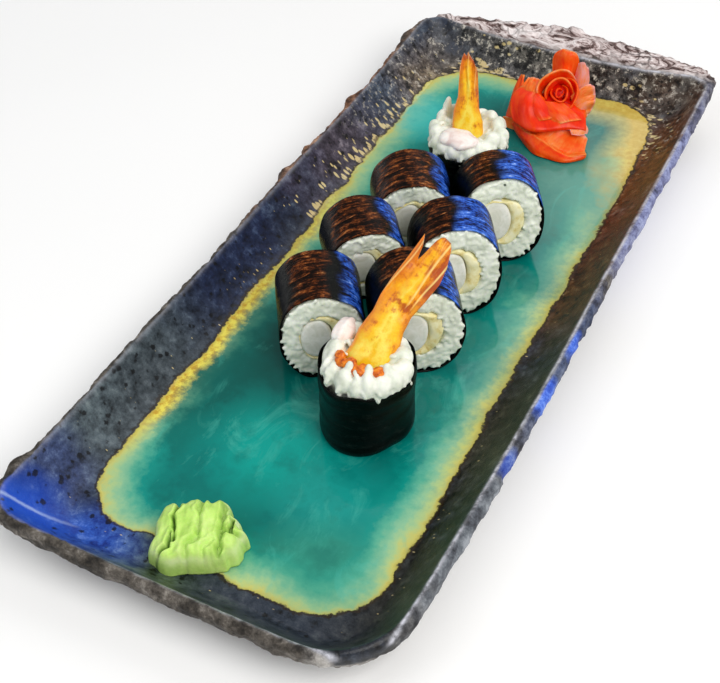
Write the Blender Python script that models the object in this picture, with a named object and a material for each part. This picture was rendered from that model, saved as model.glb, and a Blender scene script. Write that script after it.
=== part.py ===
"""Eight pieces of maki sushi on a long hand-made stoneware tray, with ginger and wasabi.

Units are metres, +Z is up and +Y runs along the tray to its far end.
The tray's box is centred on the origin and its underside lies at Z = 0.
"""
import math
import random

import bmesh
import bpy
from mathutils import Matrix, Vector

MM = 0.001
GAP = 0.3 * MM                      # room between pieces that touch

# ---- tray: the line of the inner rim, the floor and the base are rounded rectangles
RIM_WIDTH = 155 * MM
RIM_LENGTH = 372 * MM
RIM_CENTRE_Y = -6 * MM              # the torn far lip is wider than the near one
RIM_RADII = (26 * MM, 10 * MM, 12 * MM, 12 * MM)   # near right, far right, far left, near left
WALL_RUN = {"left": 17.5 * MM, "right": 18.5 * MM, "near": 13.5 * MM, "far": 12 * MM}
FLOOR_HEIGHT = 8.1 * MM
FLOOR_RADIUS = 16 * MM
CORNER_HEIGHT = 27 * MM
SIDE_HEIGHT = 23.8 * MM             # the rim dips between its corners
FAR_DIP = 1.6 * MM                  # and a little more in the middle of the far end
FAR_BOW = 4.5 * MM                  # where the inner edge also stands back
LIP_WIDTH = 3 * MM
FAR_LIP_WIDTH = 17 * MM             # the torn lip's extra width at the far end
FAR_LIP_RISE = 8 * MM
FAR_LIP_MIDDLE = 6 * MM             # it is widest a little right of the middle
EDGE_DEPTH = 8 * MM                 # of the rough cut edge of the slab
NEAR_TAPER = 4.5 * MM               # how far the right side draws in at the near end
BASE_INSET = 2.5 * MM               # from the floor's outline
LONG_SIDE_STEPS = 27
SHORT_SIDE_STEPS = 11
CORNER_STEPS = 5

# ---- maki
NORI_THICKNESS = 0.6 * MM
NORI_SETBACK = 0.9 * MM             # the rice swells out of its cut ends
ROLL_STEPS = 24                     # points round a roll
FOOT_FLAT = 0.7 * MM                # how far a lying roll is pressed flat underneath
FILLING_SHARE = 0.56                # of the roll's width and height
# name, x and y of the face's middle, turn about Z in degrees, half width, half height,
# lean of the face in degrees, length of the roll
LYING_ROLLS = (
    ("roll_left_front", -9.1, -63.3, 32.8, 17.8, 18.2, 12.5, 35.0),
    ("roll_right_front", 25.0, -47.3, 32.8, 18.8, 20.8, 4.0, 30.6),
    ("roll_left_middle", -11.5, -19.1, 36.7, 17.3, 19.6, -6.0, 26.5),
    ("roll_right_middle", 23.9, -7.2, 31.1, 18.7, 20.0, 12.5, 28.5),
    ("roll_left_back", -7.4, 17.3, 31.0, 17.9, 19.7, -4.0, 27.5),
    ("roll_right_back", 27.2, 32.8, 31.0, 18.7, 19.7, 14.0, 27.4),
)
# name, x, y, radius, height of the nori, height of the rice above it, lobes,
# turn, length and half widths of the tail, direction of the tail, place of the cheese
END_ROLLS = (
    {
        "name": "end_front", "x": 18.4, "y": -79.0, "radius": 17.8, "nori_height": 31.0,
        "rice_rise": 8.0, "lobes": 13, "tail_length": 50.0, "tail_thickness": 3.6,
        "tail_half_widths": (8.6, 7.0, 6.0, 6.2, 7.6, 8.8, 8.2),
        "tail_axis": (0.36, 0.66, 0.66), "tail_side": (0.88, -0.02, -0.46),
        "fork": 8.0, "cheese": (-12.0, 5.0, 7.2), "cheese_radii": (4.2, 7.0, 4.2),
    },
    {
        "name": "end_back", "x": -4.6, "y": 68.4, "radius": 17.2, "nori_height": 31.0,
        "rice_rise": 7.0, "lobes": 11, "tail_length": 37.0, "tail_thickness": 3.4,
        "tail_half_widths": (5.0, 4.9, 4.6, 4.2, 3.7, 3.0, 2.2),
        "tail_axis": (-0.16, 0.23, 0.95), "tail_side": (0.90, 0.42, 0.08),
        "fork": 2.4, "cheese": (-8.4, -9.6, 6.2), "cheese_radii": (7.5, 4.6, 3.6),
    },
)
END_STEPS = 36                      # points round a standing piece
PRAWN_RADIUS = 6.4 * MM             # of the prawn's body inside the rice
PRAWN_STEPS = 14

# ---- pickled ginger and wasabi
GINGER_PLACE = (13.5, 130.0)
GINGER_RADII = (22.0, 25.0)
GINGER_HEIGHT = 35.0
GINGER_STEPS = 32
WASABI_PLACE = (-9.3, -158.2)
WASABI_RADII = (17.4, 12.6)
WASABI_HEIGHT = 12.5
WASABI_TURN = 28.0
WASABI_STEPS = 36
WASABI_FOLD = 6.8                   # from one pressed fold to the next


def clear_scene():
    for obj in list(bpy.data.objects):
        bpy.data.objects.remove(obj, do_unlink=True)


def make_material(name, colour, roughness, coat=0.0):
    """A Principled material: colour is linear RGB."""
    material = bpy.data.materials.new(name)
    material.use_nodes = True
    shader = material.node_tree.nodes["Principled BSDF"]
    shader.inputs["Base Color"].default_value = (*colour, 1.0)
    shader.inputs["Roughness"].default_value = roughness
    shader.inputs["Metallic"].default_value = 0.0
    shader.inputs["Coat Weight"].default_value = coat
    material.diffuse_color = (*colour, 1.0)
    return material


def add_object(name, bm, material, parent=None, smooth_angle=35.0):
    """Turn a bmesh into a shaded object whose faces point outwards."""
    bmesh.ops.remove_doubles(bm, verts=bm.verts, dist=0.01 * MM)
    bmesh.ops.recalc_face_normals(bm, faces=bm.faces)
    if bm.calc_volume(signed=True) < 0:
        bmesh.ops.reverse_faces(bm, faces=bm.faces)
    mesh = bpy.data.meshes.new(name)
    bm.to_mesh(mesh)
    bm.free()
    mesh.shade_smooth()
    mesh.set_sharp_from_angle(angle=math.radians(smooth_angle))
    mesh.materials.append(material)
    obj = bpy.data.objects.new(name, mesh)
    bpy.context.scene.collection.objects.link(obj)
    obj.parent = parent
    return obj


def skin(loops, ring=False, first_middle=None, last_middle=None):
    """Join loops of points by quads. A ring also joins the last loop to the first;
    otherwise each end is closed by a fan round its middle point."""
    bm = bmesh.new()
    rows = [[bm.verts.new(point) for point in loop] for loop in loops]
    count = len(rows[0])
    pairs = list(zip(rows, rows[1:]))
    if ring:
        pairs.append((rows[-1], rows[0]))
    for low, high in pairs:
        for i in range(count):
            j = (i + 1) % count
            bm.faces.new((low[i], low[j], high[j], high[i]))
    if not ring:
        for row, middle in ((rows[0], first_middle), (rows[-1], last_middle)):
            if middle is None:
                middle = sum((vert.co for vert in row), Vector()) / count
            centre = bm.verts.new(middle)
            for i in range(count):
                bm.faces.new((row[i], row[(i + 1) % count], centre))
    return bm


def mix(a, b, share):
    return a + (b - a) * share


# ---------------------------------------------------------------- tray

def rectangle_bounds():
    """Left, right, near and far bounds of the rim, the floor and the base."""
    rim = (-RIM_WIDTH / 2, RIM_WIDTH / 2, -RIM_LENGTH / 2, RIM_LENGTH / 2)
    floor = (rim[0] + WALL_RUN["left"], rim[1] - WALL_RUN["right"],
             rim[2] + WALL_RUN["near"], rim[3] - WALL_RUN["far"])
    base = (floor[0] + BASE_INSET, floor[1] - BASE_INSET,
            floor[2] + BASE_INSET, floor[3] - BASE_INSET)
    return rim, floor, base


def rounded_rectangle(bounds, radii):
    """Points and outward normals round a rectangle, anticlockwise from its near right corner."""
    left, right, near, far = bounds
    corners = ((right, near, 1, -1, -90), (right, far, 1, 1, 0),
               (left, far, -1, 1, 90), (left, near, -1, -1, 180))
    arcs = []
    for (x, y, side_x, side_y, start), radius in zip(corners, radii):
        middle = Vector((x - side_x * radius, y - side_y * radius))
        arc = []
        for step in range(CORNER_STEPS + 1):
            angle = math.radians(start + 90 * step / CORNER_STEPS)
            normal = Vector((math.cos(angle), math.sin(angle)))
            arc.append((middle + normal * radius, normal))
        arcs.append(arc)
    points = []
    for index, arc in enumerate(arcs):
        points += arc
        following = arcs[(index + 1) % 4]
        steps = LONG_SIDE_STEPS if index % 2 == 0 else SHORT_SIDE_STEPS
        for step in range(1, steps):
            place = arc[-1][0].lerp(following[0][0], step / steps)
            points.append((place, arc[-1][1]))
    return points


def far_swell(place, normal):
    """1 in the middle of the far end, 0 at its corners and on the other sides."""
    across = (place.x - FAR_LIP_MIDDLE) / (RIM_WIDTH * 1.06)
    return max(0.0, normal.y) * max(0.0, math.cos(math.pi * across)) ** 0.8


def rim_height(place, normal):
    """Height of the inner rim: highest at the corners."""
    across = min(1.0, abs(place.x) / (RIM_WIDTH / 2))
    along = min(1.0, abs(place.y) / (RIM_LENGTH / 2))
    corner = across ** 3 * along ** 6
    wave = 0.5 * MM * math.sin(place.y / (21 * MM)) * (1 - corner)
    return mix(SIDE_HEIGHT, CORNER_HEIGHT, corner) + wave - FAR_DIP * far_swell(place, normal)


def build_tray(material):
    rng = random.Random(11)
    rim, floor, base = rectangle_bounds()
    rim_line = []
    for place, normal in rounded_rectangle(rim, RIM_RADII):
        spot = place - normal * FAR_BOW * far_swell(place, normal)
        to_near = max(0.0, -place.y / (RIM_LENGTH / 2))
        to_right = max(0.0, place.x / (RIM_WIDTH / 2))
        spot.x -= NEAR_TAPER * to_near ** 2.5 * to_right
        rim_line.append((spot, normal))
    floor_line = rounded_rectangle(floor, [FLOOR_RADIUS] * 4)
    base_line = rounded_rectangle(base, [FLOOR_RADIUS] * 4)
    heights = [rim_height(place, normal) for place, normal in rim_line]

    def floor_loop(share):
        """A loop on the flat floor, shrunk towards the tray's long middle line."""
        loop = []
        for place, normal in floor_line:
            middle = Vector((0, max(-RIM_LENGTH * 0.34, min(RIM_LENGTH * 0.34, place.y))))
            spot = middle.lerp(place, share)
            loop.append(Vector((spot.x, spot.y, FLOOR_HEIGHT)))
        return loop

    def wall_loop(run, rise):
        loop = []
        for (low, _), (high, _), height in zip(floor_line, rim_line, heights):
            spot = low.lerp(high, run)
            loop.append(Vector((spot.x, spot.y, mix(FLOOR_HEIGHT, height, rise))))
        return loop

    def lip_loop(share, drop, rough):
        """A loop on the torn lip; drop is taken off the rim's height."""
        loop = []
        for (place, normal), height in zip(rim_line, heights):
            swell = far_swell(place, normal)
            unevenness = rough * (1 + 1.2 * swell)
            width = (LIP_WIDTH + FAR_LIP_WIDTH * swell) * share
            spot = place + normal * (width + rng.uniform(-0.6, 0.6) * unevenness)
            rise = FAR_LIP_RISE * swell * min(1.0, share) + rng.uniform(-1, 1) * unevenness * 0.7
            loop.append(Vector((spot.x, spot.y, height - drop + rise)))
        return loop

    def under_loop(share, height_share, low_height):
        loop = []
        for (low, _), (high, normal), height in zip(base_line, rim_line, heights):
            swell = far_swell(high, normal)
            width = (LIP_WIDTH + FAR_LIP_WIDTH * swell) * 0.8
            spot = low.lerp(high + normal * width, share)
            edge = height - EDGE_DEPTH + FAR_LIP_RISE * swell * 0.6
            loop.append(Vector((spot.x, spot.y, mix(low_height, edge, height_share))))
        return loop

    loops = [
        floor_loop(0.5),
        floor_loop(1.0),
        wall_loop(0.16, 0.05),
        wall_loop(0.44, 0.30),
        wall_loop(0.72, 0.62),
        wall_loop(0.94, 0.93),
        wall_loop(1.0, 1.0),
        lip_loop(0.4, 0.3 * MM, 0.5 * MM),
        lip_loop(0.85, 1.2 * MM, 0.9 * MM),
        lip_loop(1.05, 4.0 * MM, 0.9 * MM),
        lip_loop(0.8, EDGE_DEPTH, 0.8 * MM),
        under_loop(0.45, 0.34, 1.0 * MM),
        under_loop(0.06, 0.0, 1.0 * MM),
        under_loop(0.0, 0.0, 0.0),
    ]
    bm = skin(loops, first_middle=Vector((0, 0, FLOOR_HEIGHT)), last_middle=Vector((0, 0, 0)))
    xs = [vert.co.x for vert in bm.verts]
    ys = [vert.co.y for vert in bm.verts]
    to_middle = Vector((-(min(xs) + max(xs)) / 2, -(min(ys) + max(ys)) / 2, 0))
    bmesh.ops.translate(bm, verts=bm.verts, vec=to_middle)
    for vert in bm.verts:
        if vert.co.z < 0.01 * MM and vert.co.xy.length < 25 * MM:
            vert.co.xy = (0, 0)
    return add_object("tray", bm, material, smooth_angle=32)


# ---------------------------------------------------------------- lying rolls

def oval(half_width, half_height, angle):
    """A point of a lying roll's section: an oval, pressed flat underneath."""
    x = half_width * math.cos(angle)
    z = half_height * math.sin(angle)
    corner = 1 + 0.035 * math.sin(2 * angle) ** 2
    return x * corner, max(z * corner, -half_height + FOOT_FLAT)


def oval_loop(half_width, half_height, depth, lean, share=1.0):
    """A loop of the section at a depth behind the face. A leaning loop is set back
    towards its top. Share shrinks it about its middle."""
    loop = []
    for step in range(ROLL_STEPS):
        angle = 2 * math.pi * step / ROLL_STEPS
        x, z = oval(half_width, half_height, angle)
        loop.append(Vector((x * share, depth + math.tan(lean) * z * share, z * share)))
    return loop


def filling_outlines(radius_x, radius_z):
    """Outlines of the prawn and of the batter that clasps it from the right."""
    tip_angle = math.radians(112)
    arc_steps = 9
    bend_steps = 7
    tip = Vector((math.cos(tip_angle), math.sin(tip_angle)))
    bulge = 0.30

    def inner_bend(shift):
        """From the upper tip to the lower one, bulging to the right."""
        points = []
        for step in range(bend_steps + 1):
            height = tip.y * (1 - 2 * step / bend_steps)
            reach = 1 - (height / tip.y) ** 2
            points.append((mix(tip.x, bulge, reach) + shift, height))
        return points

    def arc(start, end, steps):
        """Points of the round outline, leaving out both ends."""
        angles = [mix(start, end, step / steps) for step in range(1, steps)]
        return [(math.cos(angle), math.sin(angle)) for angle in angles]

    def scaled(outline):
        return [(x * radius_x, z * radius_z) for x, z in outline]

    prawn = inner_bend(0.0) + arc(2 * math.pi - tip_angle, tip_angle, arc_steps)
    batter_tip = tip_angle - 0.09
    shift = GAP * 1.6 / radius_x
    batter = arc(-batter_tip, batter_tip, arc_steps + 4) + inner_bend(shift)[1:-1]
    return scaled(prawn), scaled(batter)


def filling_solid(outline, length, lean, swell):
    """A strand through the roll, with both ends crowned by swell."""
    front = [Vector((x, math.tan(lean) * z, z)) for x, z in outline]
    back = [Vector((x, length, z)) for x, z in outline]
    middle_front = sum(front, Vector()) / len(front) + Vector((0, -swell, 0))
    middle_back = sum(back, Vector()) / len(back) + Vector((0, swell, 0))
    return skin([front, back], first_middle=middle_front, last_middle=middle_back)


def build_lying_roll(name, x, y, turn, half_width, half_height, lean, length, materials, centre):
    half_width, half_height, length = half_width * MM, half_height * MM, length * MM
    lean = math.radians(lean)
    inner_width = half_width - NORI_THICKNESS
    inner_height = half_height - NORI_THICKNESS
    rice_width, rice_height = inner_width - GAP, inner_height - GAP
    nori = skin([
        oval_loop(half_width, half_height, NORI_SETBACK, lean),
        oval_loop(half_width, half_height, length - NORI_SETBACK, 0),
        oval_loop(inner_width, inner_height, length - NORI_SETBACK, 0),
        oval_loop(inner_width, inner_height, NORI_SETBACK, lean),
    ], ring=True)
    hole = FILLING_SHARE
    rice = skin([
        oval_loop(rice_width, rice_height, 0.9 * MM, lean),
        oval_loop(rice_width, rice_height, length - 0.9 * MM, 0),
        oval_loop(rice_width, rice_height, length, 0, 0.88),
        oval_loop(rice_width, rice_height, length, 0, hole),
        oval_loop(rice_width, rice_height, 0, lean, hole),
        oval_loop(rice_width, rice_height, 0, lean, 0.88),
    ], ring=True)
    prawn_outline, batter_outline = filling_outlines(
        rice_width * hole - GAP * 1.5, (rice_height - FOOT_FLAT) * hole - GAP * 1.5)
    parts = {
        "nori": nori,
        "rice": rice,
        "prawn": filling_solid(prawn_outline, length, lean, 0.5 * MM),
        "batter": filling_solid(batter_outline, length, lean, 0.2 * MM),
    }
    for part, bm in parts.items():
        obj = add_object(f"{name}_{part}", bm, materials[part], centre)
        obj.location = (x * MM, y * MM, GAP + half_height - FOOT_FLAT)
        obj.rotation_euler = (0, 0, math.radians(turn))


# ---------------------------------------------------------------- standing end pieces

def round_loop(radius, height, lobes=0, depth=0.0):
    """A circle, slightly squared. With lobes its radius and height dip unevenly."""
    loop = []
    for step in range(END_STEPS):
        angle = 2 * math.pi * step / END_STEPS
        wave = 0.6 * math.cos(lobes * angle) + 0.4 * math.cos((lobes - 4) * angle + 1.0)
        dip = depth * (0.5 + 0.5 * wave)
        reach = radius * (1 + 0.02 * math.cos(4 * angle)) - dip
        place = (reach * math.cos(angle), reach * math.sin(angle), height - 0.3 * dip)
        loop.append(Vector(place))
    return loop


def tail_solid(piece, start_height):
    """The prawn: a round body through the rice, then a fan that leans and forks."""
    axis = Vector(piece["tail_axis"]).normalized()
    side = Vector(piece["tail_side"])
    side = (side - axis * side.dot(axis)).normalized()
    depth_axis = axis.cross(side)
    half_widths = piece["tail_half_widths"]
    loops = []
    for height in (GAP, start_height):
        loops.append([Vector((PRAWN_RADIUS * math.cos(a), PRAWN_RADIUS * math.sin(a), height))
                      for a in (2 * math.pi * s / PRAWN_STEPS for s in range(PRAWN_STEPS))])
    base = Vector((0, 0, start_height + 1.2 * MM))
    flat_side = Vector((side.x, side.y, 0)).normalized()
    flat_depth = Vector((-flat_side.y, flat_side.x, 0))
    turn = math.atan2(flat_side.y, flat_side.x)
    for loop in loops:
        loop[:] = [Matrix.Rotation(turn, 3, "Z") @ point for point in loop]
    for index, half_width in enumerate(half_widths):
        share = index / (len(half_widths) - 1)
        upright = max(0.0, 1 - 3.0 * share)
        across = side.lerp(flat_side, upright).normalized()
        through = depth_axis.lerp(flat_depth, upright).normalized()
        thickness = mix(piece["tail_thickness"] * 1.5, 0.9, share ** 0.8) * MM
        middle = base + axis * piece["tail_length"] * MM * share * 0.84
        loop = []
        for step in range(PRAWN_STEPS):
            angle = 2 * math.pi * step / PRAWN_STEPS
            u = math.cos(angle)
            ridge = 1 + 0.18 * math.cos(5 * math.pi * u) * share
            reach = 0.0
            if share > 0.99:
                reach = (piece["tail_length"] * 0.16 - piece["fork"] * max(0.0, 1 - 2.2 * abs(u))
                         - piece["fork"] * 0.5 * max(0.0, abs(u) - 0.6)) * MM
            loop.append(middle + across * u * half_width * MM
                        + through * math.sin(angle) * thickness * ridge + axis * reach)
        loops.append(loop)
    tip = sum(loops[-1], Vector()) / PRAWN_STEPS
    tip -= axis * piece["fork"] * 0.4 * MM
    return skin(loops, last_middle=tip)


def ellipsoid(centre, radii):
    bm = bmesh.new()
    bmesh.ops.create_icosphere(bm, subdivisions=2, radius=1.0)
    bmesh.ops.scale(bm, verts=bm.verts, vec=radii)
    bmesh.ops.translate(bm, verts=bm.verts, vec=centre)
    return bm


def build_end_roll(piece, materials, centre):
    radius, top = piece["radius"] * MM, piece["nori_height"] * MM
    rise = piece["rice_rise"] * MM
    lobes = piece["lobes"]
    inner = radius - NORI_THICKNESS
    bore = PRAWN_RADIUS + GAP
    body_top = top + 2.6 * MM
    nori = skin([
        round_loop(radius, GAP),
        round_loop(radius, top),
        round_loop(inner, top),
        round_loop(inner, GAP),
    ], ring=True)
    rice = skin([
        round_loop(inner - GAP, GAP),
        round_loop(inner - GAP, top + GAP),
        round_loop(radius + 1.6 * MM, top + 1.2 * MM, lobes, 2.0 * MM),
        round_loop(radius + 1.4 * MM, top + 0.50 * rise, lobes, 2.4 * MM),
        round_loop(radius - 1.5 * MM, top + 0.88 * rise, lobes, 2.2 * MM),
        round_loop(radius - 4.5 * MM, top + rise, lobes, 1.0 * MM),
        round_loop(radius - 6.2 * MM, top + 0.62 * rise),
        round_loop(bore + 1.5 * MM, top + 1.6 * MM),
        round_loop(bore, top + 0.6 * MM),
        round_loop(bore, GAP),
    ], ring=True)
    place = (piece["x"] * MM, piece["y"] * MM, 0)
    prawn = add_object(f'{piece["name"]}_prawn', tail_solid(piece, body_top),
                       materials["tail"], centre)
    nori = add_object(f'{piece["name"]}_nori', nori, materials["nori"], centre)
    rice = add_object(f'{piece["name"]}_rice', rice, materials["rice"], centre)
    lump_place = Vector(piece["cheese"]) * MM + Vector((0, 0, top))
    lump_radii = Vector(piece["cheese_radii"]) * MM
    cheese = add_object(f'{piece["name"]}_cheese', ellipsoid(lump_place, lump_radii),
                        materials["cheese"], centre)
    for obj in (prawn, nori, rice, cheese):
        obj.location = place
    clearance = Vector((1, 1, 1)) * GAP * 1.2
    carve(rice, ellipsoid(lump_place, lump_radii + clearance), place, centre)


def carve(obj, cutter_mesh, place, centre):
    """Cut the shape of a neighbour out of a piece, with room to spare."""
    cutter = add_object(f"{obj.name}_cutter", cutter_mesh, obj.data.materials[0], centre)
    cutter.location = place
    cutter.hide_render = True
    cutter.display_type = "WIRE"
    boolean = obj.modifiers.new("room", "BOOLEAN")
    boolean.operation = "DIFFERENCE"
    boolean.solver = "EXACT"
    boolean.object = cutter


# ---------------------------------------------------------------- ginger and wasabi

def build_ginger(material, centre):
    """Folded slices heaped up and leaning back: one uneven solid."""
    levels = (      # share of the height, share of the radius
        (0.00, 0.82), (0.07, 0.98), (0.22, 1.0), (0.40, 0.94), (0.58, 0.84),
        (0.76, 0.70), (0.92, 0.50), (1.00, 0.26),
    )
    loops = []
    for rise, spread in levels:
        lean_x, lean_y = -6.0 * rise, 17.0 * rise ** 1.3
        loop = []
        for step in range(GINGER_STEPS):
            angle = 2 * math.pi * step / GINGER_STEPS
            folds = (1 + 0.10 * math.sin(3 * angle + 4.5 * rise + 0.6)
                     + 0.07 * math.sin(7 * angle - 6.0 * rise))
            reach_x = GINGER_RADII[0] * spread * folds * math.cos(angle) + lean_x
            reach_y = GINGER_RADII[1] * spread * folds * math.sin(angle) + lean_y
            height = GINGER_HEIGHT * rise
            if rise > 0.1:
                height += 1.6 * math.sin(5 * angle + 3 * rise) * spread
            loop.append(Vector((reach_x * MM, reach_y * MM, GAP + height * MM)))
        loops.append(loop)
    obj = add_object("ginger", skin(loops), material, centre, 40)
    obj.location = (GINGER_PLACE[0] * MM, GINGER_PLACE[1] * MM, 0)


def build_wasabi(material, centre):
    """A soft heap pressed into upright folds side by side."""
    levels = ((0.0, 0.90), (0.12, 1.0), (0.50, 0.97), (0.82, 0.84), (0.97, 0.60), (1.0, 0.30))
    loops = []
    for rise, spread in levels:
        loop = []
        for step in range(WASABI_STEPS):
            angle = 2 * math.pi * step / WASABI_STEPS
            squareness = 1 + 0.07 * math.sin(2 * angle) ** 2
            x = WASABI_RADII[0] * squareness * math.cos(angle)
            y = WASABI_RADII[1] * squareness * math.sin(angle)
            crease = 0.5 + 0.5 * math.cos(2 * math.pi * x / WASABI_FOLD)
            pinch = spread * (1 - 0.07 * crease * abs(math.sin(angle)))
            height = WASABI_HEIGHT * rise * (1 - 0.10 * crease * rise)
            loop.append(Vector((x * pinch * MM, y * pinch * MM, GAP + height * MM)))
        loops.append(loop)
    obj = add_object("wasabi", skin(loops), material, centre, 40)
    obj.location = (WASABI_PLACE[0] * MM, WASABI_PLACE[1] * MM, 0)
    obj.rotation_euler = (0, 0, math.radians(WASABI_TURN))


def main():
    clear_scene()
    materials = {
        "nori": make_material("nori", (0.012, 0.013, 0.014), 0.30),
        "rice": make_material("rice", (0.78, 0.79, 0.72), 0.45),
        "prawn": make_material("prawn meat", (0.60, 0.60, 0.55), 0.40),
        "batter": make_material("batter", (0.66, 0.56, 0.26), 0.55),
        "tail": make_material("prawn tail", (0.85, 0.42, 0.02), 0.35),
        "cheese": make_material("cream cheese", (0.85, 0.74, 0.70), 0.40),
    }
    build_tray(make_material("glazed stoneware", (0.01, 0.25, 0.21), 0.20, 0.4))
    centre = bpy.data.objects.new("tray_centre", None)
    centre.location = (0, RIM_CENTRE_Y, FLOOR_HEIGHT)
    bpy.context.scene.collection.objects.link(centre)
    for roll in LYING_ROLLS:
        build_lying_roll(*roll, materials, centre)
    for piece in END_ROLLS:
        build_end_roll(piece, materials, centre)
    build_ginger(make_material("pickled ginger", (0.85, 0.10, 0.03), 0.35), centre)
    build_wasabi(make_material("wasabi", (0.50, 0.74, 0.14), 0.50), centre)


main()
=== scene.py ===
"""Maki sushi on a long stoneware tray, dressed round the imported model.

Shapes are worked out in millimetres and put into the meshes in metres.
"""

import math
import random

import bpy
import numpy as np
from mathutils import Matrix, Vector


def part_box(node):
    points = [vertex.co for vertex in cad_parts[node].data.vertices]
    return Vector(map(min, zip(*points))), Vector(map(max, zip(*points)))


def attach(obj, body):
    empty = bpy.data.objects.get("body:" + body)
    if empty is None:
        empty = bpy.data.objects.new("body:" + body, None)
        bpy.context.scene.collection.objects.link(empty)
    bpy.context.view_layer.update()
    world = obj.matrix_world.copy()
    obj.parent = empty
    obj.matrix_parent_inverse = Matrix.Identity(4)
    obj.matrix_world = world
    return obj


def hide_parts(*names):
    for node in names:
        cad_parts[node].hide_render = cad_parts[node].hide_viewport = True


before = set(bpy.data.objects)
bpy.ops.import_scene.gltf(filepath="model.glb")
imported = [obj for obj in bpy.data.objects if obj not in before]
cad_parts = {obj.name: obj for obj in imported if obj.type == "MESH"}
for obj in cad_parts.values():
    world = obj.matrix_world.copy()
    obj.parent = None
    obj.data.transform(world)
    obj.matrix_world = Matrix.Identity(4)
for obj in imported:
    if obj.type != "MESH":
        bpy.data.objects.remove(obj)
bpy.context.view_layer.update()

MM = 0.001
FLOOR = 8.1                 # height of the tray's glazed floor
NORI = 0.4                  # thickness of a sheet of nori
SETBACK = 0.9               # the rice swells out of the nori's cut ends
FOOT_FLAT = 0.7             # how far a lying roll is pressed flat underneath
FILLING = 0.56              # share of a roll's width that its filling takes
GRAIN = (2.6, 1.2, 1.05)    # half sizes of a grain of boiled short rice


# ------------------------------------------------------------------ shaping

def alone(obj):
    """Makes obj the only selected object and the active one."""
    bpy.ops.object.select_all(action="DESELECT")
    obj.select_set(True)
    bpy.context.view_layer.objects.active = obj
    return obj


def primitive(operator, name, **size):
    bpy.ops.object.select_all(action="DESELECT")
    operator(**size)
    obj = bpy.context.active_object
    obj.name = obj.data.name = name
    return obj


def points(obj):
    """Places of the vertices in millimetres."""
    flat = np.zeros(len(obj.data.vertices) * 3, np.float32)
    obj.data.vertices.foreach_get("co", flat)
    return flat.reshape(-1, 3).astype(float) / MM


def set_points(obj, places):
    obj.data.vertices.foreach_set("co", (np.asarray(places) * MM).astype(np.float32).ravel())
    obj.data.update()


def normals(obj):
    flat = np.zeros(len(obj.data.vertices) * 3, np.float32)
    obj.data.vertices.foreach_get("normal", flat)
    return flat.reshape(-1, 3).astype(float)


def stack(*columns):
    return np.stack(np.broadcast_arrays(*columns), axis=1)


def ease(value, low, high):
    """0 below low, 1 above high, and smooth between them."""
    share = np.clip((np.asarray(value, float) - low) / (high - low), 0, 1)
    return share * share * (3 - 2 * share)


def mix(a, b, share):
    return a + (b - a) * share


def swells(places, size, seed, waves=9):
    """Smooth uneven bumps about size mm across, between about -1 and 1."""
    draw = np.random.default_rng(seed)
    total = np.zeros(len(places))
    for _ in range(waves):
        way = draw.normal(size=3)
        way *= 2 * math.pi / size * draw.uniform(0.6, 1.5) / np.linalg.norm(way) / 2
        total += np.sin(places @ way + draw.uniform(0, 2 * math.pi))
    return total / math.sqrt(waves)


def ball(name, segments, rings):
    """A closed ball, with the angle round and the angle up of each point."""
    obj = primitive(bpy.ops.mesh.primitive_uv_sphere_add, name,
                    segments=segments, ring_count=rings, radius=MM)
    unit = points(obj)
    return obj, np.arctan2(unit[:, 1], unit[:, 0]), np.arcsin(np.clip(unit[:, 2], -1, 1))


def hoop(name, segments, rings):
    """A closed ring, with the angle round it and the angle round its section."""
    obj = primitive(bpy.ops.mesh.primitive_torus_add, name, major_segments=segments,
                    minor_segments=rings, major_radius=3 * MM, minor_radius=MM)
    unit = points(obj)
    reach = np.hypot(unit[:, 0], unit[:, 1]) - 3
    return obj, np.arctan2(unit[:, 1], unit[:, 0]), np.arctan2(unit[:, 2], reach)


def sheet(name, across, along):
    """A flat sheet, with each point's place across and along it, from 0 to 1."""
    obj = primitive(bpy.ops.mesh.primitive_grid_add, name,
                    x_subdivisions=across, y_subdivisions=along, size=2 * MM)
    unit = points(obj)
    return obj, (unit[:, 0] + 1) / 2, (unit[:, 1] + 1) / 2


def finish_with(obj, kind, **settings):
    """Adds a modifier and applies it."""
    alone(obj)
    modifier = obj.modifiers.new(kind.lower(), kind)
    for field, value in settings.items():
        setattr(modifier, field, value)
    bpy.ops.object.modifier_apply(modifier=modifier.name)


def roughen(obj, kind, size, height, group="", **settings):
    """Raises the surface by an uneven pattern of a real size, height mm from low to high."""
    pattern = bpy.data.textures.new(f"{obj.name} {kind.lower()}", kind)
    pattern.noise_scale = size * MM
    for field, value in settings.items():
        setattr(pattern, field, value)
    finish_with(obj, "DISPLACE", texture=pattern, texture_coords="LOCAL",
                strength=height * MM, mid_level=0.5, vertex_group=group)


def outward(obj):
    """Merges doubles and turns every face outwards."""
    alone(obj)
    bpy.ops.object.mode_set(mode="EDIT")
    bpy.ops.mesh.select_all(action="SELECT")
    bpy.ops.mesh.remove_doubles(threshold=0.001 * MM)
    bpy.ops.mesh.normals_make_consistent(inside=False)
    bpy.ops.object.mode_set(mode="OBJECT")
    return obj


def drop(obj, chosen):
    """Deletes the chosen points."""
    alone(obj)
    bpy.ops.object.mode_set(mode="EDIT")
    bpy.ops.mesh.select_mode(type="VERT")
    bpy.ops.mesh.select_all(action="DESELECT")
    bpy.ops.object.mode_set(mode="OBJECT")
    obj.data.vertices.foreach_set("select", chosen)
    bpy.ops.object.mode_set(mode="EDIT")
    bpy.ops.mesh.delete(type="VERT")
    bpy.ops.object.mode_set(mode="OBJECT")


def thicken(obj, thickness):
    """Gives an open sheet a wall, half to each side."""
    finish_with(obj, "SOLIDIFY", thickness=thickness * MM, offset=0, use_even_offset=False)


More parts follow.
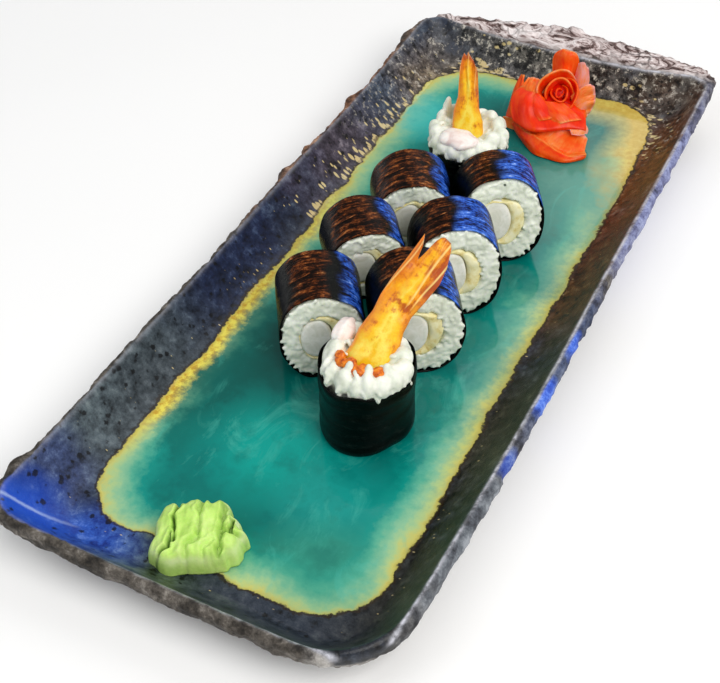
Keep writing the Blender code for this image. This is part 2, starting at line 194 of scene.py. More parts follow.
def melt(obj, cell, rounds):
    """Fuses overlapping pieces into one skin and softens it."""
    finish_with(obj, "REMESH", mode="VOXEL", voxel_size=cell * MM, adaptivity=0)
    if rounds:
        finish_with(obj, "SMOOTH", factor=0.5, iterations=rounds)


def strew(name, seed_piece, places):
    """One mesh of many copies of a small piece, a 4x4 matrix in millimetres for each."""
    base = points(seed_piece)
    faces = [tuple(face.vertices) for face in seed_piece.data.polygons]
    spots, joined = [], []
    for index, place in enumerate(places):
        turn = np.array(place.to_3x3())
        spots.append(base @ turn.T + np.array(place.translation))
        joined += [tuple(corner + index * len(base) for corner in face) for face in faces]
    mesh = bpy.data.meshes.new(name)
    mesh.from_pydata((np.concatenate(spots) * MM).tolist(), [], joined)
    obj = bpy.data.objects.new(name, mesh)
    bpy.context.scene.collection.objects.link(obj)
    return obj


def join(main, *others):
    alone(main)
    for other in others:
        other.select_set(True)
    bpy.ops.object.join()
    return main


def mark(obj, name, values):
    """Keeps a number for each point, which the materials read."""
    layer = obj.data.attributes.new(name, "FLOAT", "POINT")
    layer.data.foreach_set("value", np.asarray(values, np.float32))


def dress(obj, material, slot, *nodes):
    """The finished piece: its material, what it rides on and which solids it stands for."""
    obj.data.materials.clear()
    obj.data.materials.append(material)
    alone(obj)
    bpy.ops.object.shade_smooth()
    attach(obj, "root")
    if nodes:
        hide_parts(*nodes)
    return obj


def centre_of(node):
    low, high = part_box(node)
    return np.array((low + high) / 2) / MM


# ------------------------------------------------------------------ materials

def linear(code):
    """sRGB hex to linear RGBA."""
    parts = [int(code[i:i + 2], 16) / 255 for i in (1, 3, 5)]
    return [p / 12.92 if p <= 0.04045 else ((p + 0.055) / 1.055) ** 2.4 for p in parts] + [1.0]


def per(size):
    """Texture scale for a pattern of a real size in millimetres."""
    return 1000.0 / size


def add(material, kind, *values, sockets=None, stops=None, **settings):
    """Adds one node. Values fill its sockets in order and sockets fills them by name; stops
    are a ramp's places and colours. A value is a node, a socket, a hex colour or numbers."""
    tree = material.node_tree
    node = tree.nodes.new("ShaderNode" + kind)
    for field, value in settings.items():
        setattr(node, field, value)
    if stops:
        ramp = node.color_ramp
        while len(ramp.elements) < len(stops):
            ramp.elements.new(0.5)
        for element, (place, colour) in zip(ramp.elements, stops):
            element.position = place
            element.color = linear(colour) if isinstance(colour, str) else (colour,) * 3 + (1,)
    open_sockets = [socket for socket in node.inputs if socket.enabled]
    pairs = list(zip(open_sockets, values))
    for name, value in (sockets or {}).items():
        pairs.append((next(s for s in open_sockets if s.name == name), value))
    for socket, value in pairs:
        if value is None:
            continue
        if isinstance(value, bpy.types.Node):
            value = next(out for out in value.outputs if out.enabled)
        if isinstance(value, bpy.types.NodeSocket):
            tree.links.new(value, socket)
        else:
            socket.default_value = linear(value) if isinstance(value, str) else value
    return node


def new_material(name):
    material = bpy.data.materials.new(name)
    material.use_nodes = True
    material.node_tree.nodes.clear()
    return material


def close(material, colour, bump=None, **sockets):
    """The shader and the output. Keywords are shader sockets with _ for a space."""
    values = {"Base Color": colour, "Normal": bump}
    values.update({key.replace("_", " "): value for key, value in sockets.items()})
    shader = add(material, "BsdfPrincipled", sockets=values)
    add(material, "OutputMaterial", shader)
    return material


def tint(m, share, a, b, blend="MIX"):
    """Mixes two colours by a share."""
    return add(m, "Mix", share, a, b, data_type="RGBA", blend_type=blend)


def glaze_material():
    """Reactive glazed stoneware: a pool of glassy teal with a gold broken edge on a dark
    speckled glaze. The eye gets wet depth in the pool, grit on the walls, bare clay outside."""
    m = new_material("reactive glazed stoneware")
    place = add(m, "TexCoord").outputs["Object"]
    mm = add(m, "VectorMath", place, (1000, 1000, 1000), operation="MULTIPLY")
    wander = add(m, "TexNoise", place, per(26), 4.0, 0.55).outputs["Fac"]
    ragged = add(m, "TexNoise", place, per(3.0), 3.0, 0.65).outputs["Fac"]
    grain = add(m, "TexNoise", place, per(6), 6.0, 0.72).outputs["Fac"]
    cloud = add(m, "TexNoise", place, per(24), 5.0, 0.62).outputs["Fac"]
    x, y, z = add(m, "SeparateXYZ", mm).outputs

    def offset(value, reach):
        """A noise turned into millimetres either way."""
        middle = add(m, "Math", value, 0.5, operation="SUBTRACT")
        return add(m, "Math", middle, reach, operation="MULTIPLY")

    def zone(spot, radius, strength, soft=0.35):
        """1 round a spot on the tray and 0 beyond its radius, with a cloudy edge."""
        away = add(m, "VectorMath", mm, spot, operation="DISTANCE").outputs["Value"]
        away = add(m, "Math", away, offset(cloud, radius * 1.6))
        return add(m, "MapRange", away, radius, radius * soft, 0.0, strength)

    # distance outside the pool's outline, a rounded rectangle, in mm
    from_middle = add(m, "VectorMath", mm, (-0.3, -4.5, 0), operation="SUBTRACT")
    size = add(m, "VectorMath", from_middle, operation="ABSOLUTE")
    beyond = add(m, "VectorMath", size, (60.5 - 27, 169 - 27, 1000), operation="SUBTRACT")
    outer = add(m, "VectorMath", beyond, (0, 0, 0), operation="MAXIMUM")
    reach = add(m, "VectorMath", outer, operation="LENGTH").outputs["Value"]
    bx, by, _ = add(m, "SeparateXYZ", beyond).outputs
    inner = add(m, "Math", add(m, "Math", bx, by, operation="MAXIMUM"), 0.0, operation="MINIMUM")
    edge = add(m, "Math", add(m, "Math", reach, inner), 27.0, operation="SUBTRACT")
    notch = add(m, "VectorMath", mm, (-22, -184, 8), operation="DISTANCE").outputs["Value"]
    notch = add(m, "MapRange", notch, 34.0, 4.0, 0.0, 9.0, interpolation_type="SMOOTHSTEP")
    edge = add(m, "Math", edge, notch)
    edge = add(m, "Math", edge, offset(wander, 9.0))
    outside = add(m, "Math", edge, offset(ragged, 3.4))

    # the pool: gold rim, pale green shallows, teal depth with lighter and darker drifts, and
    # painted shadow of the rolls on the pool beside them
    depth = add(m, "Math", outside, offset(cloud, 14.0))
    depth = add(m, "MapRange", depth, 0.0, -30.0, 0.0, 1.0)
    pool = add(m, "ValToRGB", depth, stops=[
        (0.0, "#C9C46A"), (0.10, "#ACC789"), (0.22, "#88BD95"), (0.38, "#52A98F"),
        (0.54, "#108C80"), (0.72, "#037A71"), (1.0, "#017069")])
    # the first two zones, dark teal left of the rolls, are painted shadow of the rolls
    for spot, radius, strength, colour in (
            ((-40, -90, 8), 42, 0.85, "#01564F"), ((-42, -58, 8), 30, 0.6, "#045A52"),
            ((-8, -113, 8), 34, 0.75, "#06A598"), ((24, -127, 8), 24, 0.6, "#1FA59B"),
            ((34, -156, 8), 28, 0.55, "#3E987F"), ((40, -40, 8), 46, 0.5, "#1D7A72"),
            ((46, 88, 8), 44, 0.75, "#559A88"), ((-48, 112, 8), 26, 0.7, "#3DBDB8"),
            ((46, 20, 8), 28, 0.5, "#017069")):
        pool = tint(m, zone(spot, radius, strength), pool, colour)
    fine = add(m, "Mapping", place, sockets={"Rotation": (0, 0, 0.5), "Scale": (1, 0.45, 1)})
    milk = add(m, "TexNoise", fine, per(15), 6.0, 0.68, sockets={"Distortion": 1.0})
    milk = add(m, "MapRange", milk.outputs["Fac"], 0.54, 0.72, 0.0, 0.5)
    pool = tint(m, milk, pool, "#4DB5A4")
    dusk = add(m, "MapRange", cloud, 0.50, 0.36, 0.0, 0.4)
    dusk = add(m, "Math", dusk, depth, operation="MULTIPLY")
    pool = tint(m, dusk, pool, "#025049")
    shore = add(m, "MapRange", add(m, "Math", outside, offset(grain, 7.0)), -8.0, -3.0, 0.0, 1.0)
    mottled = tint(m, add(m, "MapRange", ragged, 0.40, 0.58, 0.0, 1.0), "#C79F38", "#E8DA5C")
    for spot, radius, strength in (((-58, -80, 8), 66, 1.0), ((50, 142, 8), 44, 1.0),
                                   ((-58, 10, 8), 40, 0.6), ((60, -40, 8), 90, 0.2)):
        share = add(m, "Math", shore, zone(spot, radius, strength, 0.6), operation="MULTIPLY")
        pool = tint(m, share, pool, mottled)
    thin = add(m, "MapRange", outside, -1.6, -0.4, 0.0, 0.55)
    pool = tint(m, thin, pool, "#B3A650")
    corner = add(m, "MapRange", outside, -24.0, -7.0, 0.0, 1.0)
    corner = add(m, "Math", corner, zone((60, 146, 8), 60, 1.0, 0.5), operation="MULTIPLY")
    pool = tint(m, corner, pool, tint(m, ragged, "#B78F1E", "#E3CF74"))

    # the dark glaze round it, each side fired differently
    def fired(dark, low, high, pale):
        return add(m, "ValToRGB", grain, stops=[
            (0.34, dark), (0.45, low), (0.56, high), (0.70, pale)])

    wall = fired("#0B0E15", "#1B2230", "#2C3445", "#56616E")
    for spot, radius, strength, colours in (
            ((-74, -120, 20), 66, 0.9, ("#20282C", "#454F55", "#5F6C72", "#7D898C")),
            ((-62, -110, 8), 40, 0.7, ("#14181C", "#2B3238", "#3B4148", "#5A6068")),
            ((-72, -30, 20), 60, 0.85, ("#060A1C", "#111A34", "#1C2748", "#445577")),
            ((-76, 60, 20), 56, 0.85, ("#171829", "#2C2E4B", "#484D6C", "#6A7090")),
            ((-62, 60, 8), 54, 0.8, ("#191416", "#352D33", "#51474E", "#8B7F85")),
            ((-78, 130, 20), 50, 0.9, ("#1B1E26", "#3D4658", "#566172", "#8C949C")),
            ((-60, 140, 8), 34, 0.8, ("#241F1D", "#4B423E", "#75665D", "#A99A88")),
            ((-46, 146, 8), 30, 0.75, ("#2A2219", "#5C4C34", "#8D784C", "#C9B785")),
            ((0, 178, 18), 76, 1.0, ("#15110F", "#3F3D3B", "#6A6661", "#A9A29A")),
            ((64, 178, 18), 46, 1.0, ("#15100D", "#3E3A35", "#595550", "#857C70")),
            ((72, 110, 18), 74, 1.0, ("#210F04", "#532A08", "#6E3D16", "#9C7550")),
            ((72, 14, 18), 60, 1.0, ("#1A0F07", "#3C2411", "#54361C", "#7C5F3E")),
            ((72, -70, 18), 62, 1.0, ("#10110D", "#25241E", "#36332B", "#565648")),
            ((66, -150, 18), 62, 1.0, ("#0A0B09", "#1A1B18", "#2A2B29", "#444640")),
            ((20, -184, 10), 44, 1.0, ("#0E1319", "#262E3A", "#363D48", "#50565C")),
            ((-24, -180, 10), 26, 1.0, ("#142019", "#36423A", "#53625A", "#6E7E74")),
            ((-72, -166, 18), 26, 0.85, ("#10172C", "#28345A", "#3B4A78", "#687BA4"))):
        wall = tint(m, zone(spot, radius, strength), wall, fired(*colours))
    crease = add(m, "VectorMath", mm, (-0.36, 0.93, 0), operation="DOT_PRODUCT")
    crease = add(m, "Math", crease.outputs["Value"], -145.6, operation="SUBTRACT")
    below = add(m, "MapRange", add(m, "Math", crease, offset(cloud, 18.0)), 17.0, 0.0, 0.0, 1.0)
    blue = add(m, "Math", below, zone((-60, -184, 9), 38, 1.0), operation="MULTIPLY")
    wall = tint(m, blue, wall, fired("#0B1B66", "#1C3E96", "#2E5AB8", "#6B8DE0"))
    glow = add(m, "Math", below, zone((-76, -182, 22), 26, 0.9), operation="MULTIPLY")
    wall = tint(m, glow, wall, "#1B4FC4")
    crease = add(m, "Math", add(m, "Math", crease, offset(grain, 2.0)), operation="ABSOLUTE")
    crease = add(m, "MapRange", crease, 1.1, 0.2, 0.0, 0.55)
    crease = add(m, "Math", crease, zone((-72, -184, 21), 24, 1.0), operation="MULTIPLY")
    wall = tint(m, crease, wall, "#B9CDF2")

    # flecks of gold thrown outwards from the pool's edge, black specks over the rest
    thrown = add(m, "Mapping", place, sockets={"Scale": (0.42, 1, 0.42)})
    flecks = add(m, "TexVoronoi", thrown, per(2.6)).outputs["Distance"]
    few = add(m, "TexNoise", place, per(9), 3.0, 0.6).outputs["Fac"]
    dense = add(m, "Math", zone((-66, 70, 10), 96, 1.0, 0.5), zone((48, 150, 10), 46, 1.1),
                operation="MAXIMUM")
    dense = add(m, "Math", dense, zone((-36, 162, 12), 44, 1.25), operation="MAXIMUM")
    dense = add(m, "Math", dense, 0.22, operation="MAXIMUM")
    band = add(m, "MapRange", outside, 17.0, 0.0, 0.0, 1.0)
    share = add(m, "Math", add(m, "Math", band, dense, operation="MULTIPLY"), few,
                operation="MULTIPLY")
    share = add(m, "Math", share, 0.95, operation="MULTIPLY")
    gold = add(m, "MapRange", add(m, "Math", flecks, share, operation="SUBTRACT"),
               0.03, -0.05, 0.0, 0.95)
    wall = tint(m, gold, wall, tint(m, cloud, "#C7A24A", "#E6DDB4"))
    specks = add(m, "TexVoronoi", place, per(4.8), sockets={"Randomness": 1.0})
    holes = add(m, "Math", specks.outputs["Distance"], offset(grain, 0.9))
    black = add(m, "MapRange", holes, 0.24, 0.14, 0.0, 0.85)
    wall = tint(m, black, wall, "#07080B")
    grit = add(m, "TexNoise", add(m, "Mapping", place, sockets={"Location": (3, 1, 2)}),
               per(3.0), 5.0, 0.75).outputs["Fac"]
    gritty = add(m, "Math", zone((4, 176, 18), 88, 1.0, 0.6), zone((-70, 130, 16), 60, 0.7),
                 operation="MAXIMUM")
    for start, end, reach, colour in ((0.47, 0.40, 0.95, "#0A0908"), (0.56, 0.62, 0.9, "#CFC8BC")):
        share = add(m, "MapRange", grit, start, end, 0.0, reach)
        wall = tint(m, add(m, "Math", share, gritty, operation="MULTIPLY"), wall, colour)

    inside = add(m, "MapRange", outside, 0.25, -0.25, 0.0, 1.0)
    line = add(m, "Math", add(m, "Math", outside, 0.5, operation="SUBTRACT"),
               operation="ABSOLUTE")
    line = add(m, "MapRange", line, 0.9, 0.2, 0.0, 0.75)
    colour = tint(m, inside, wall, pool)
    colour = tint(m, line, colour, "#2A1E0B")

    # the pale painted highlight along the crest and the bare, burnt clay of the rough edge
    lip = add(m, "Attribute", attribute_name="lip").outputs["Fac"]
    crest = add(m, "Attribute", attribute_name="crest").outputs["Fac"]
    clay_noise = add(m, "TexNoise", place, per(8), 7.0, 0.74).outputs["Fac"]

    def burnt(dark, low, high, pale):
        return add(m, "ValToRGB", clay_noise, stops=[
            (0.36, dark), (0.46, low), (0.55, high), (0.68, pale)])

    clay = burnt("#14110E", "#37322C", "#5B554E", "#9A948C")
    for spot, radius, strength, colours in (
            ((82, 80, 22), 96, 1.0, ("#2E3048", "#6B6F98", "#8F96C0", "#B9C4DE")),
            ((82, -40, 22), 76, 1.0, ("#10141F", "#29324A", "#434F6E", "#727C96")),
            ((80, -130, 22), 60, 1.0, ("#202226", "#484C54", "#656B72", "#9499A0")),
            ((79, -27, 22), 9, 1.0, ("#1C3BA0", "#2F58C8", "#5E84E4", "#A9C0F4")),
            ((79, -58, 22), 12, 1.0, ("#1C3BA0", "#2F58C8", "#5E84E4", "#A9C0F4")),
            ((78, -94, 22), 9, 0.9, ("#1C3BA0", "#3B58B0", "#6C84C8", "#A9B4DC")),
            ((-82, 80, 20), 100, 0.9, ("#1D100A", "#4C2E1E", "#8A5D40", "#C9A184")),
            ((64, -192, 18), 16, 0.9, ("#4A4642", "#8C8884", "#BDB9B4", "#E8E6E2"))):
        clay = tint(m, zone(spot, radius, strength), clay, burnt(*colours))
    folds = add(m, "TexNoise", add(m, "Mapping", place, sockets={"Scale": (0.6, 1.5, 1.5)}),
                per(10), 7.0, 0.7, sockets={"Distortion": 1.6}).outputs["Fac"]
    # the dark end of this ramp paints the shade under the torn lip's ledge in random patches; the pale end is the
    # bare clay
    torn = add(m, "ValToRGB", folds, stops=[
        (0.38, "#2C1B18"), (0.45, "#775F5B"), (0.50, "#CDBEBC"), (0.60, "#F2E9E8"),
        (0.74, "#FFFCFB")])
    cracks = add(m, "TexVoronoi", add(m, "VectorMath", place, add(
        m, "VectorMath", add(m, "TexNoise", place, per(5), 2.0).outputs["Color"],
        (0.004, 0.004, 0.004), operation="MULTIPLY")), per(7), feature="DISTANCE_TO_EDGE")
    cracks = add(m, "MapRange", cracks.outputs["Distance"], 0.09, 0.02, 0.0, 0.85)
    cracks = add(m, "Math", cracks, add(m, "MapRange", cloud, 0.42, 0.6, 0.1, 1.0),
                 operation="MULTIPLY")
    torn = tint(m, cracks, torn, "#38231F")
    clay = tint(m, add(m, "MapRange", y, 174.0, 181.0, 0.0, 1.0), clay, torn)
    colour = tint(m, lip, colour, clay)
    # painted highlight along the crest, brighter towards the right where the light comes from
    worn = add(m, "Math", crest, add(m, "MapRange", clay_noise, 0.42, 0.56, 0.25, 1.0),
               operation="MULTIPLY")
    worn = add(m, "Math", worn, add(m, "MapRange", x, -60.0, 50.0, 0.2, 1.0),
               operation="MULTIPLY")
    colour = tint(m, worn, colour, "#CFD0DA")

    raised = add(m, "Math", add(m, "Math", 1.0, inside, operation="SUBTRACT"), grain,
                 operation="MULTIPLY")
    raised = add(m, "Math", raised, add(m, "Math", lip, clay_noise, operation="MULTIPLY"))
    bump = add(m, "Bump", 0.6, 0.8 * MM, sockets={"Height": raised})
    gloss = add(m, "MapRange", inside, 0.0, 1.0, 0.32, 0.10)
    gloss = add(m, "Mix", lip, gloss, 0.6, data_type="FLOAT")
    return close(m, colour, bump, Roughness=gloss, IOR=1.5, Specular_IOR_Level=0.3)


def nori_material():
    """Toasted nori: pressed seaweed, near black, with a satin gloss. The eye gets streaks
    along the wrap, a painted warm reflection with highlights over the top and upper left of
    a lying roll, and a painted blue reflection on its upper right."""
    m = new_material("toasted nori")
    place = add(m, "TexCoord").outputs["Object"]
    uv = add(m, "UVMap", uv_map="UVMap")
    streak_place = add(m, "Mapping", uv, sockets={"Scale": (12, 13, 1)})
    streak = add(m, "TexNoise", streak_place, 1.0, 6.0, 0.72, sockets={"Distortion": 1.1})
    fine = add(m, "TexNoise", place, per(3.2), 5.0, 0.72).outputs["Fac"]
    both = add(m, "Math", streak.outputs["Fac"], 0.6, operation="MULTIPLY")
    both = add(m, "Math", both, add(m, "Math", fine, 0.4, operation="MULTIPLY"))
    base = add(m, "ValToRGB", both, stops=[
        (0.40, "#010302"), (0.52, "#040605"), (0.62, "#101512"), (0.74, "#3A3F3A")])
    # rust and blue are painted reflections round the barrel: warm with highlights, and blue
    rust_share = add(m, "Attribute", attribute_name="rust").outputs["Fac"]
    blue_share = add(m, "Attribute", attribute_name="blue").outputs["Fac"]
    rust = add(m, "ValToRGB", both, stops=[
        (0.42, "#050201"), (0.49, "#200E05"), (0.545, "#53270F"), (0.60, "#965425"),
        (0.66, "#E8AC70")])
    blue = add(m, "ValToRGB", both, stops=[
        (0.42, "#030718"), (0.465, "#0D2468"), (0.51, "#2152BC"), (0.575, "#4B7FE2"),
        (0.66, "#BCD2FA")])
    colour = tint(m, rust_share, base, rust)
    colour = tint(m, blue_share, colour, blue)
    bump = add(m, "Bump", 0.8, 0.5 * MM, sockets={"Height": both})
    return close(m, colour, bump, Roughness=0.24, IOR=1.45, Specular_IOR_Level=0.09)


def rice_material(name, low, high, speck):
    """Boiled short-grain rice: soft translucent starch with a moist film. The eye gets pale
    grains with cool hollows and a few dark sesame specks."""
    m = new_material(name)
    place = add(m, "TexCoord").outputs["Object"]
    tone = add(m, "TexNoise", place, per(6), 4.0, 0.6).outputs["Fac"]
    colour = add(m, "ValToRGB", tone, stops=[(0.32, low), (0.62, high)])
    dots = add(m, "TexVoronoi", place, per(6.5)).outputs["Distance"]
    some = add(m, "TexNoise", place, per(9), 1.0, 0.5).outputs["Fac"]
    dots = add(m, "Math", dots, add(m, "MapRange", some, 0.45, 0.8, 0.0, speck),
               operation="SUBTRACT")
    dots = add(m, "MapRange", dots, 0.02, -0.02, 0.0, 0.9)
    colour = tint(m, dots, colour, "#39443A")
    fine = add(m, "TexNoise", place, per(1.1), 3.0, 0.6).outputs["Fac"]
    bump = add(m, "Bump", 0.25, 0.2 * MM, sockets={"Height": fine})
    return close(m, colour, bump, Roughness=0.36, IOR=1.4, Subsurface_Weight=0.25,
                 Subsurface_Radius=(0.9, 1.0, 0.7), Subsurface_Scale=0.002)


def meat_material():
    """Cooked prawn: pearly muscle. The eye gets faint fibres across a smooth grey-white."""
    m = new_material("cooked prawn")
    place = add(m, "TexCoord").outputs["Object"]
    fibre = add(m, "TexNoise", place, per(4.5), 3.0, 0.6, sockets={"Distortion": 0.8})
    colour = add(m, "ValToRGB", fibre.outputs["Fac"], stops=[
        (0.3, "#D9DACB"), (0.55, "#EDEDE4"), (0.75, "#FBFAF4")])
    bump = add(m, "Bump", 0.2, 0.3 * MM, sockets={"Height": fibre.outputs["Fac"]})
    return close(m, colour, bump, Roughness=0.38, IOR=1.4, Subsurface_Weight=0.2,
                 Subsurface_Radius=(1, 0.8, 0.7), Subsurface_Scale=0.002)


def batter_material():
    """Soaked frying batter: porous flour paste. The eye gets straw yellow with brown pores."""
    m = new_material("fried batter")
    place = add(m, "TexCoord").outputs["Object"]
    cloud = add(m, "TexNoise", place, per(5), 5.0, 0.65).outputs["Fac"]
    colour = add(m, "ValToRGB", cloud, stops=[
        (0.28, "#B98F3E"), (0.40, "#E8D994"), (0.55, "#F7F1C2"), (0.75, "#FBF8DC")])
    bump = add(m, "Bump", 0.5, 0.5 * MM, sockets={"Height": cloud})
    return close(m, colour, bump, Roughness=0.5, IOR=1.4)


def crumb_material():
    """Fried crumbs: hard little blisters. The eye gets burnt orange with darker pits."""
    m = new_material("fried crumbs")
    place = add(m, "TexCoord").outputs["Object"]
    cloud = add(m, "TexNoise", place, per(2.4), 4.0, 0.65).outputs["Fac"]
    colour = add(m, "ValToRGB", cloud, stops=[
        (0.34, "#9A3A06"), (0.48, "#D9690C"), (0.60, "#F08A1C"), (0.74, "#F8B048")])
    bump = add(m, "Bump", 0.5, 0.4 * MM, sockets={"Height": cloud})
    return close(m, colour, bump, Roughness=0.4, IOR=1.45)


def tail_material():
    """Fried prawn tail: thin shell under a glassy amber crust. The eye gets deep yellow at the
    middle, orange at the edges and rust blotches towards the fan."""
    m = new_material("fried prawn tail")
    place = add(m, "TexCoord").outputs["Object"]
    up = add(m, "Attribute", attribute_name="up").outputs["Fac"]
    side = add(m, "Attribute", attribute_name="side").outputs["Fac"]
    cloud = add(m, "TexNoise", place, per(7), 5.0, 0.68).outputs["Fac"]
    streak_place = add(m, "CombineXYZ", add(m, "Math", side, 7.0, operation="MULTIPLY"),
                       add(m, "Math", up, 3.0, operation="MULTIPLY"), 0.0)
    streak = add(m, "TexNoise", streak_place, 1.0, 4.0, 0.65).outputs["Fac"]
    off_middle = add(m, "Math", side, operation="ABSOLUTE")
    tone = add(m, "Math", add(m, "Math", off_middle, 0.45, operation="MULTIPLY"),
               add(m, "Math", up, 0.55, operation="MULTIPLY"))
    tone = add(m, "Math", tone, add(m, "Math", cloud, 0.5, operation="SUBTRACT"))
    colour = add(m, "ValToRGB", tone, stops=[
        (0.02, "#F0C010"), (0.18, "#F6DF58"), (0.34, "#F8C620"), (0.50, "#F3A20A"),
        (0.70, "#DE7E0A"), (0.92, "#C85C0C")])
    blotch = add(m, "Math", add(m, "Math", streak, 0.25, operation="MULTIPLY"),
                 add(m, "Math", cloud, 0.75, operation="MULTIPLY"))
    blotch = add(m, "Math", blotch, add(m, "Math", up, 0.16, operation="MULTIPLY"))
    blotch = add(m, "Math", blotch, add(m, "Math", side, 0.05, operation="MULTIPLY"))
    blotch = add(m, "MapRange", blotch, 0.60, 0.70, 0.0, 0.85)
    colour = tint(m, blotch, colour, "#B0480C")
    left = add(m, "MapRange", side, -0.80, -0.97, 0.0, 0.75)
    colour = tint(m, left, colour, "#FF9420")
    pale = add(m, "MapRange", add(m, "Attribute", attribute_name="ridge").outputs["Fac"],
               0.35, 0.9, 0.0, 0.75)
    colour = tint(m, pale, colour, "#FFDF8A")
    bump = add(m, "Bump", 0.5, 0.6 * MM, sockets={"Height": add(m, "Math", streak, cloud)})
    return close(m, colour, bump, Roughness=0.32, IOR=1.45, Subsurface_Weight=0.15,
                 Subsurface_Radius=(1, 0.5, 0.1), Subsurface_Scale=0.002)


def cheese_material():
    """Cream cheese: whipped fat and curd. The eye gets a smooth pinkish white with soft folds."""
    m = new_material("cream cheese")
    place = add(m, "TexCoord").outputs["Object"]
    cloud = add(m, "TexNoise", place, per(5), 3.0, 0.55, sockets={"Distortion": 0.6})
    colour = add(m, "ValToRGB", cloud.outputs["Fac"], stops=[
        (0.3, "#E6D0C9"), (0.5, "#F6E9E3"), (0.7, "#FFFBF5")])
    bump = add(m, "Bump", 0.3, 0.4 * MM, sockets={"Height": cloud.outputs["Fac"]})
    return close(m, colour, bump, Roughness=0.34, IOR=1.45, Subsurface_Weight=0.2,
                 Subsurface_Radius=(1, 0.8, 0.7), Subsurface_Scale=0.002)


def ginger_material():
    """Pickled ginger dyed red: thin wet slices. The eye gets orange-red that glows at thin
    edges, with deeper red in the folds and fine fibres along each slice."""
    m = new_material("pickled ginger")
    place = add(m, "TexCoord").outputs["Object"]
    uv = add(m, "UVMap", uv_map="UVMap")
    fibres = add(m, "TexNoise", add(m, "Mapping", uv, sockets={"Scale": (16, 3, 1)}),
                 1.0, 4.0, 0.65).outputs["Fac"]
    cloud = add(m, "TexNoise", place, per(11), 3.0, 0.6).outputs["Fac"]
    tone = add(m, "Math", add(m, "Math", fibres, cloud), 0.5, operation="MULTIPLY")
    tone = add(m, "Math", add(m, "Math", tone, 0.5, operation="SUBTRACT"), 1.1,
               operation="MULTIPLY")
    tone = add(m, "Math", tone, add(m, "Attribute", attribute_name="tone").outputs["Fac"])
    colour = add(m, "ValToRGB", tone, stops=[
        (0.05, "#BE0802"), (0.25, "#E91803"), (0.45, "#FC3605"), (0.62, "#FF6012"),
        (0.80, "#FF9044"), (1.0, "#FBA8A0")])
    bump = add(m, "Bump", 0.4, 0.3 * MM, sockets={"Height": fibres})
    return close(m, colour, bump, Roughness=0.30, IOR=1.4, Specular_IOR_Level=0.3,
                 Subsurface_Weight=0.3, Subsurface_Radius=(1, 0.3, 0.15),
                 Subsurface_Scale=0.003)


def wasabi_material():
    """Wasabi paste: moist ground root. The eye gets lime green with a fine grain, and
    painted shade darkening the cracks between the pressed folds."""
    m = new_material("wasabi paste")
    place = add(m, "TexCoord").outputs["Object"]
    cloud = add(m, "TexNoise", place, per(8), 5.0, 0.65).outputs["Fac"]
    colour = add(m, "ValToRGB", cloud, stops=[
        (0.30, "#A9D65A"), (0.48, "#C2E872"), (0.66, "#D3F08C")])
    # painted shade in the cracks
    hollow = add(m, "Attribute", attribute_name="hollow").outputs["Fac"]
    colour = tint(m, hollow, colour, "#557F22")
    dry = add(m, "Attribute", attribute_name="dry").outputs["Fac"]
    colour = tint(m, dry, colour, "#E4F7B4")
    fine = add(m, "TexNoise", place, per(1.4), 4.0, 0.7).outputs["Fac"]
    bump = add(m, "Bump", 0.6, 0.4 * MM, sockets={"Height": fine})
    return close(m, colour, bump, Roughness=0.5, IOR=1.4, Subsurface_Weight=0.15,
                 Subsurface_Radius=(0.6, 1, 0.3), Subsurface_Scale=0.002)


# ------------------------------------------------------------------ tray

CLAY_LUMPS = ((157, 3.0, 5), (91.5, 3.2, 5), (46, 2.4, 4), (26, 2.6, 5), (-173, 2.4, 7))


def build_tray(material):
    """The slab: the solid's own shape, rounded, with its rough edge chipped and cracked."""
    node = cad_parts["tray"]
    tray = bpy.data.objects.new("tray_glazed", node.data.copy())
    bpy.context.scene.collection.objects.link(tray)
    outward(tray)
    bpy.ops.object.mode_set(mode="EDIT")
    bpy.ops.mesh.select_all(action="SELECT")
    bpy.ops.mesh.tris_convert_to_quads(face_threshold=math.radians(50),
                                       shape_threshold=math.radians(80))
    bpy.ops.object.mode_set(mode="OBJECT")
    finish_with(tray, "SUBSURF", levels=3, render_levels=3)
    spots, facing = points(tray), normals(tray)
    x, y, z = spots.T
    along = np.clip(-(y + 6) / 186, 0, 1)
    side_x = x + 4.5 * along ** 2.5 * np.clip(x / 77.5, 0, 1)
    far = np.clip(np.cos(math.pi * (x - 6) / 164), 0, 1) ** 0.8 * ease(y, 144, 180)
    qx, qy = np.abs(side_x) - (77.5 - 12), np.abs(y + 6 + 4.5 * far) - (186 - 12)
    out = (np.hypot(np.clip(qx, 0, None), np.clip(qy, 0, None))
           + np.minimum(np.maximum(qx, qy), 0) - 12)
    under = ease(-facing[:, 2], 0.0, 0.35)
    lip = np.maximum(ease(out, -0.2, 1.0), under * ease(z, 2, 6))
    for place, height, length in CLAY_LUMPS:
        lump = np.exp(-((y - place) / length) ** 2) * ease(-x, 78.0, 80.0) * ease(z, 12, 17)
        spots[:, 0] -= height * lump
    set_points(tray, spots)
    for name, weights in (("edge", lip), ("torn", lip * ease(y, 172, 182))):
        group = tray.vertex_groups.new(name=name)
        for index in np.nonzero(weights > 0.01)[0]:
            group.add([int(index)], float(weights[index]), "REPLACE")
    roughen(tray, "CLOUDS", 8, 1.8, "edge", noise_depth=3)
    roughen(tray, "VORONOI", 5, 1.0, "edge", distance_metric="DISTANCE")
    roughen(tray, "CLOUDS", 2.0, 0.9, "edge", noise_depth=2)
    roughen(tray, "CLOUDS", 11, 4.0, "torn", noise_depth=4, noise_type="HARD_NOISE")
    mark(tray, "lip", lip)
    # the crest: the upward-facing strip along the rim's inner edge, which gets a painted highlight
    mark(tray, "crest", np.exp(-((out + 0.1) / 0.75) ** 2) * ease(facing[:, 2], 0.0, 0.4))
    tray.vertex_groups.clear()
    dress(tray, material, "stoneware", "tray")
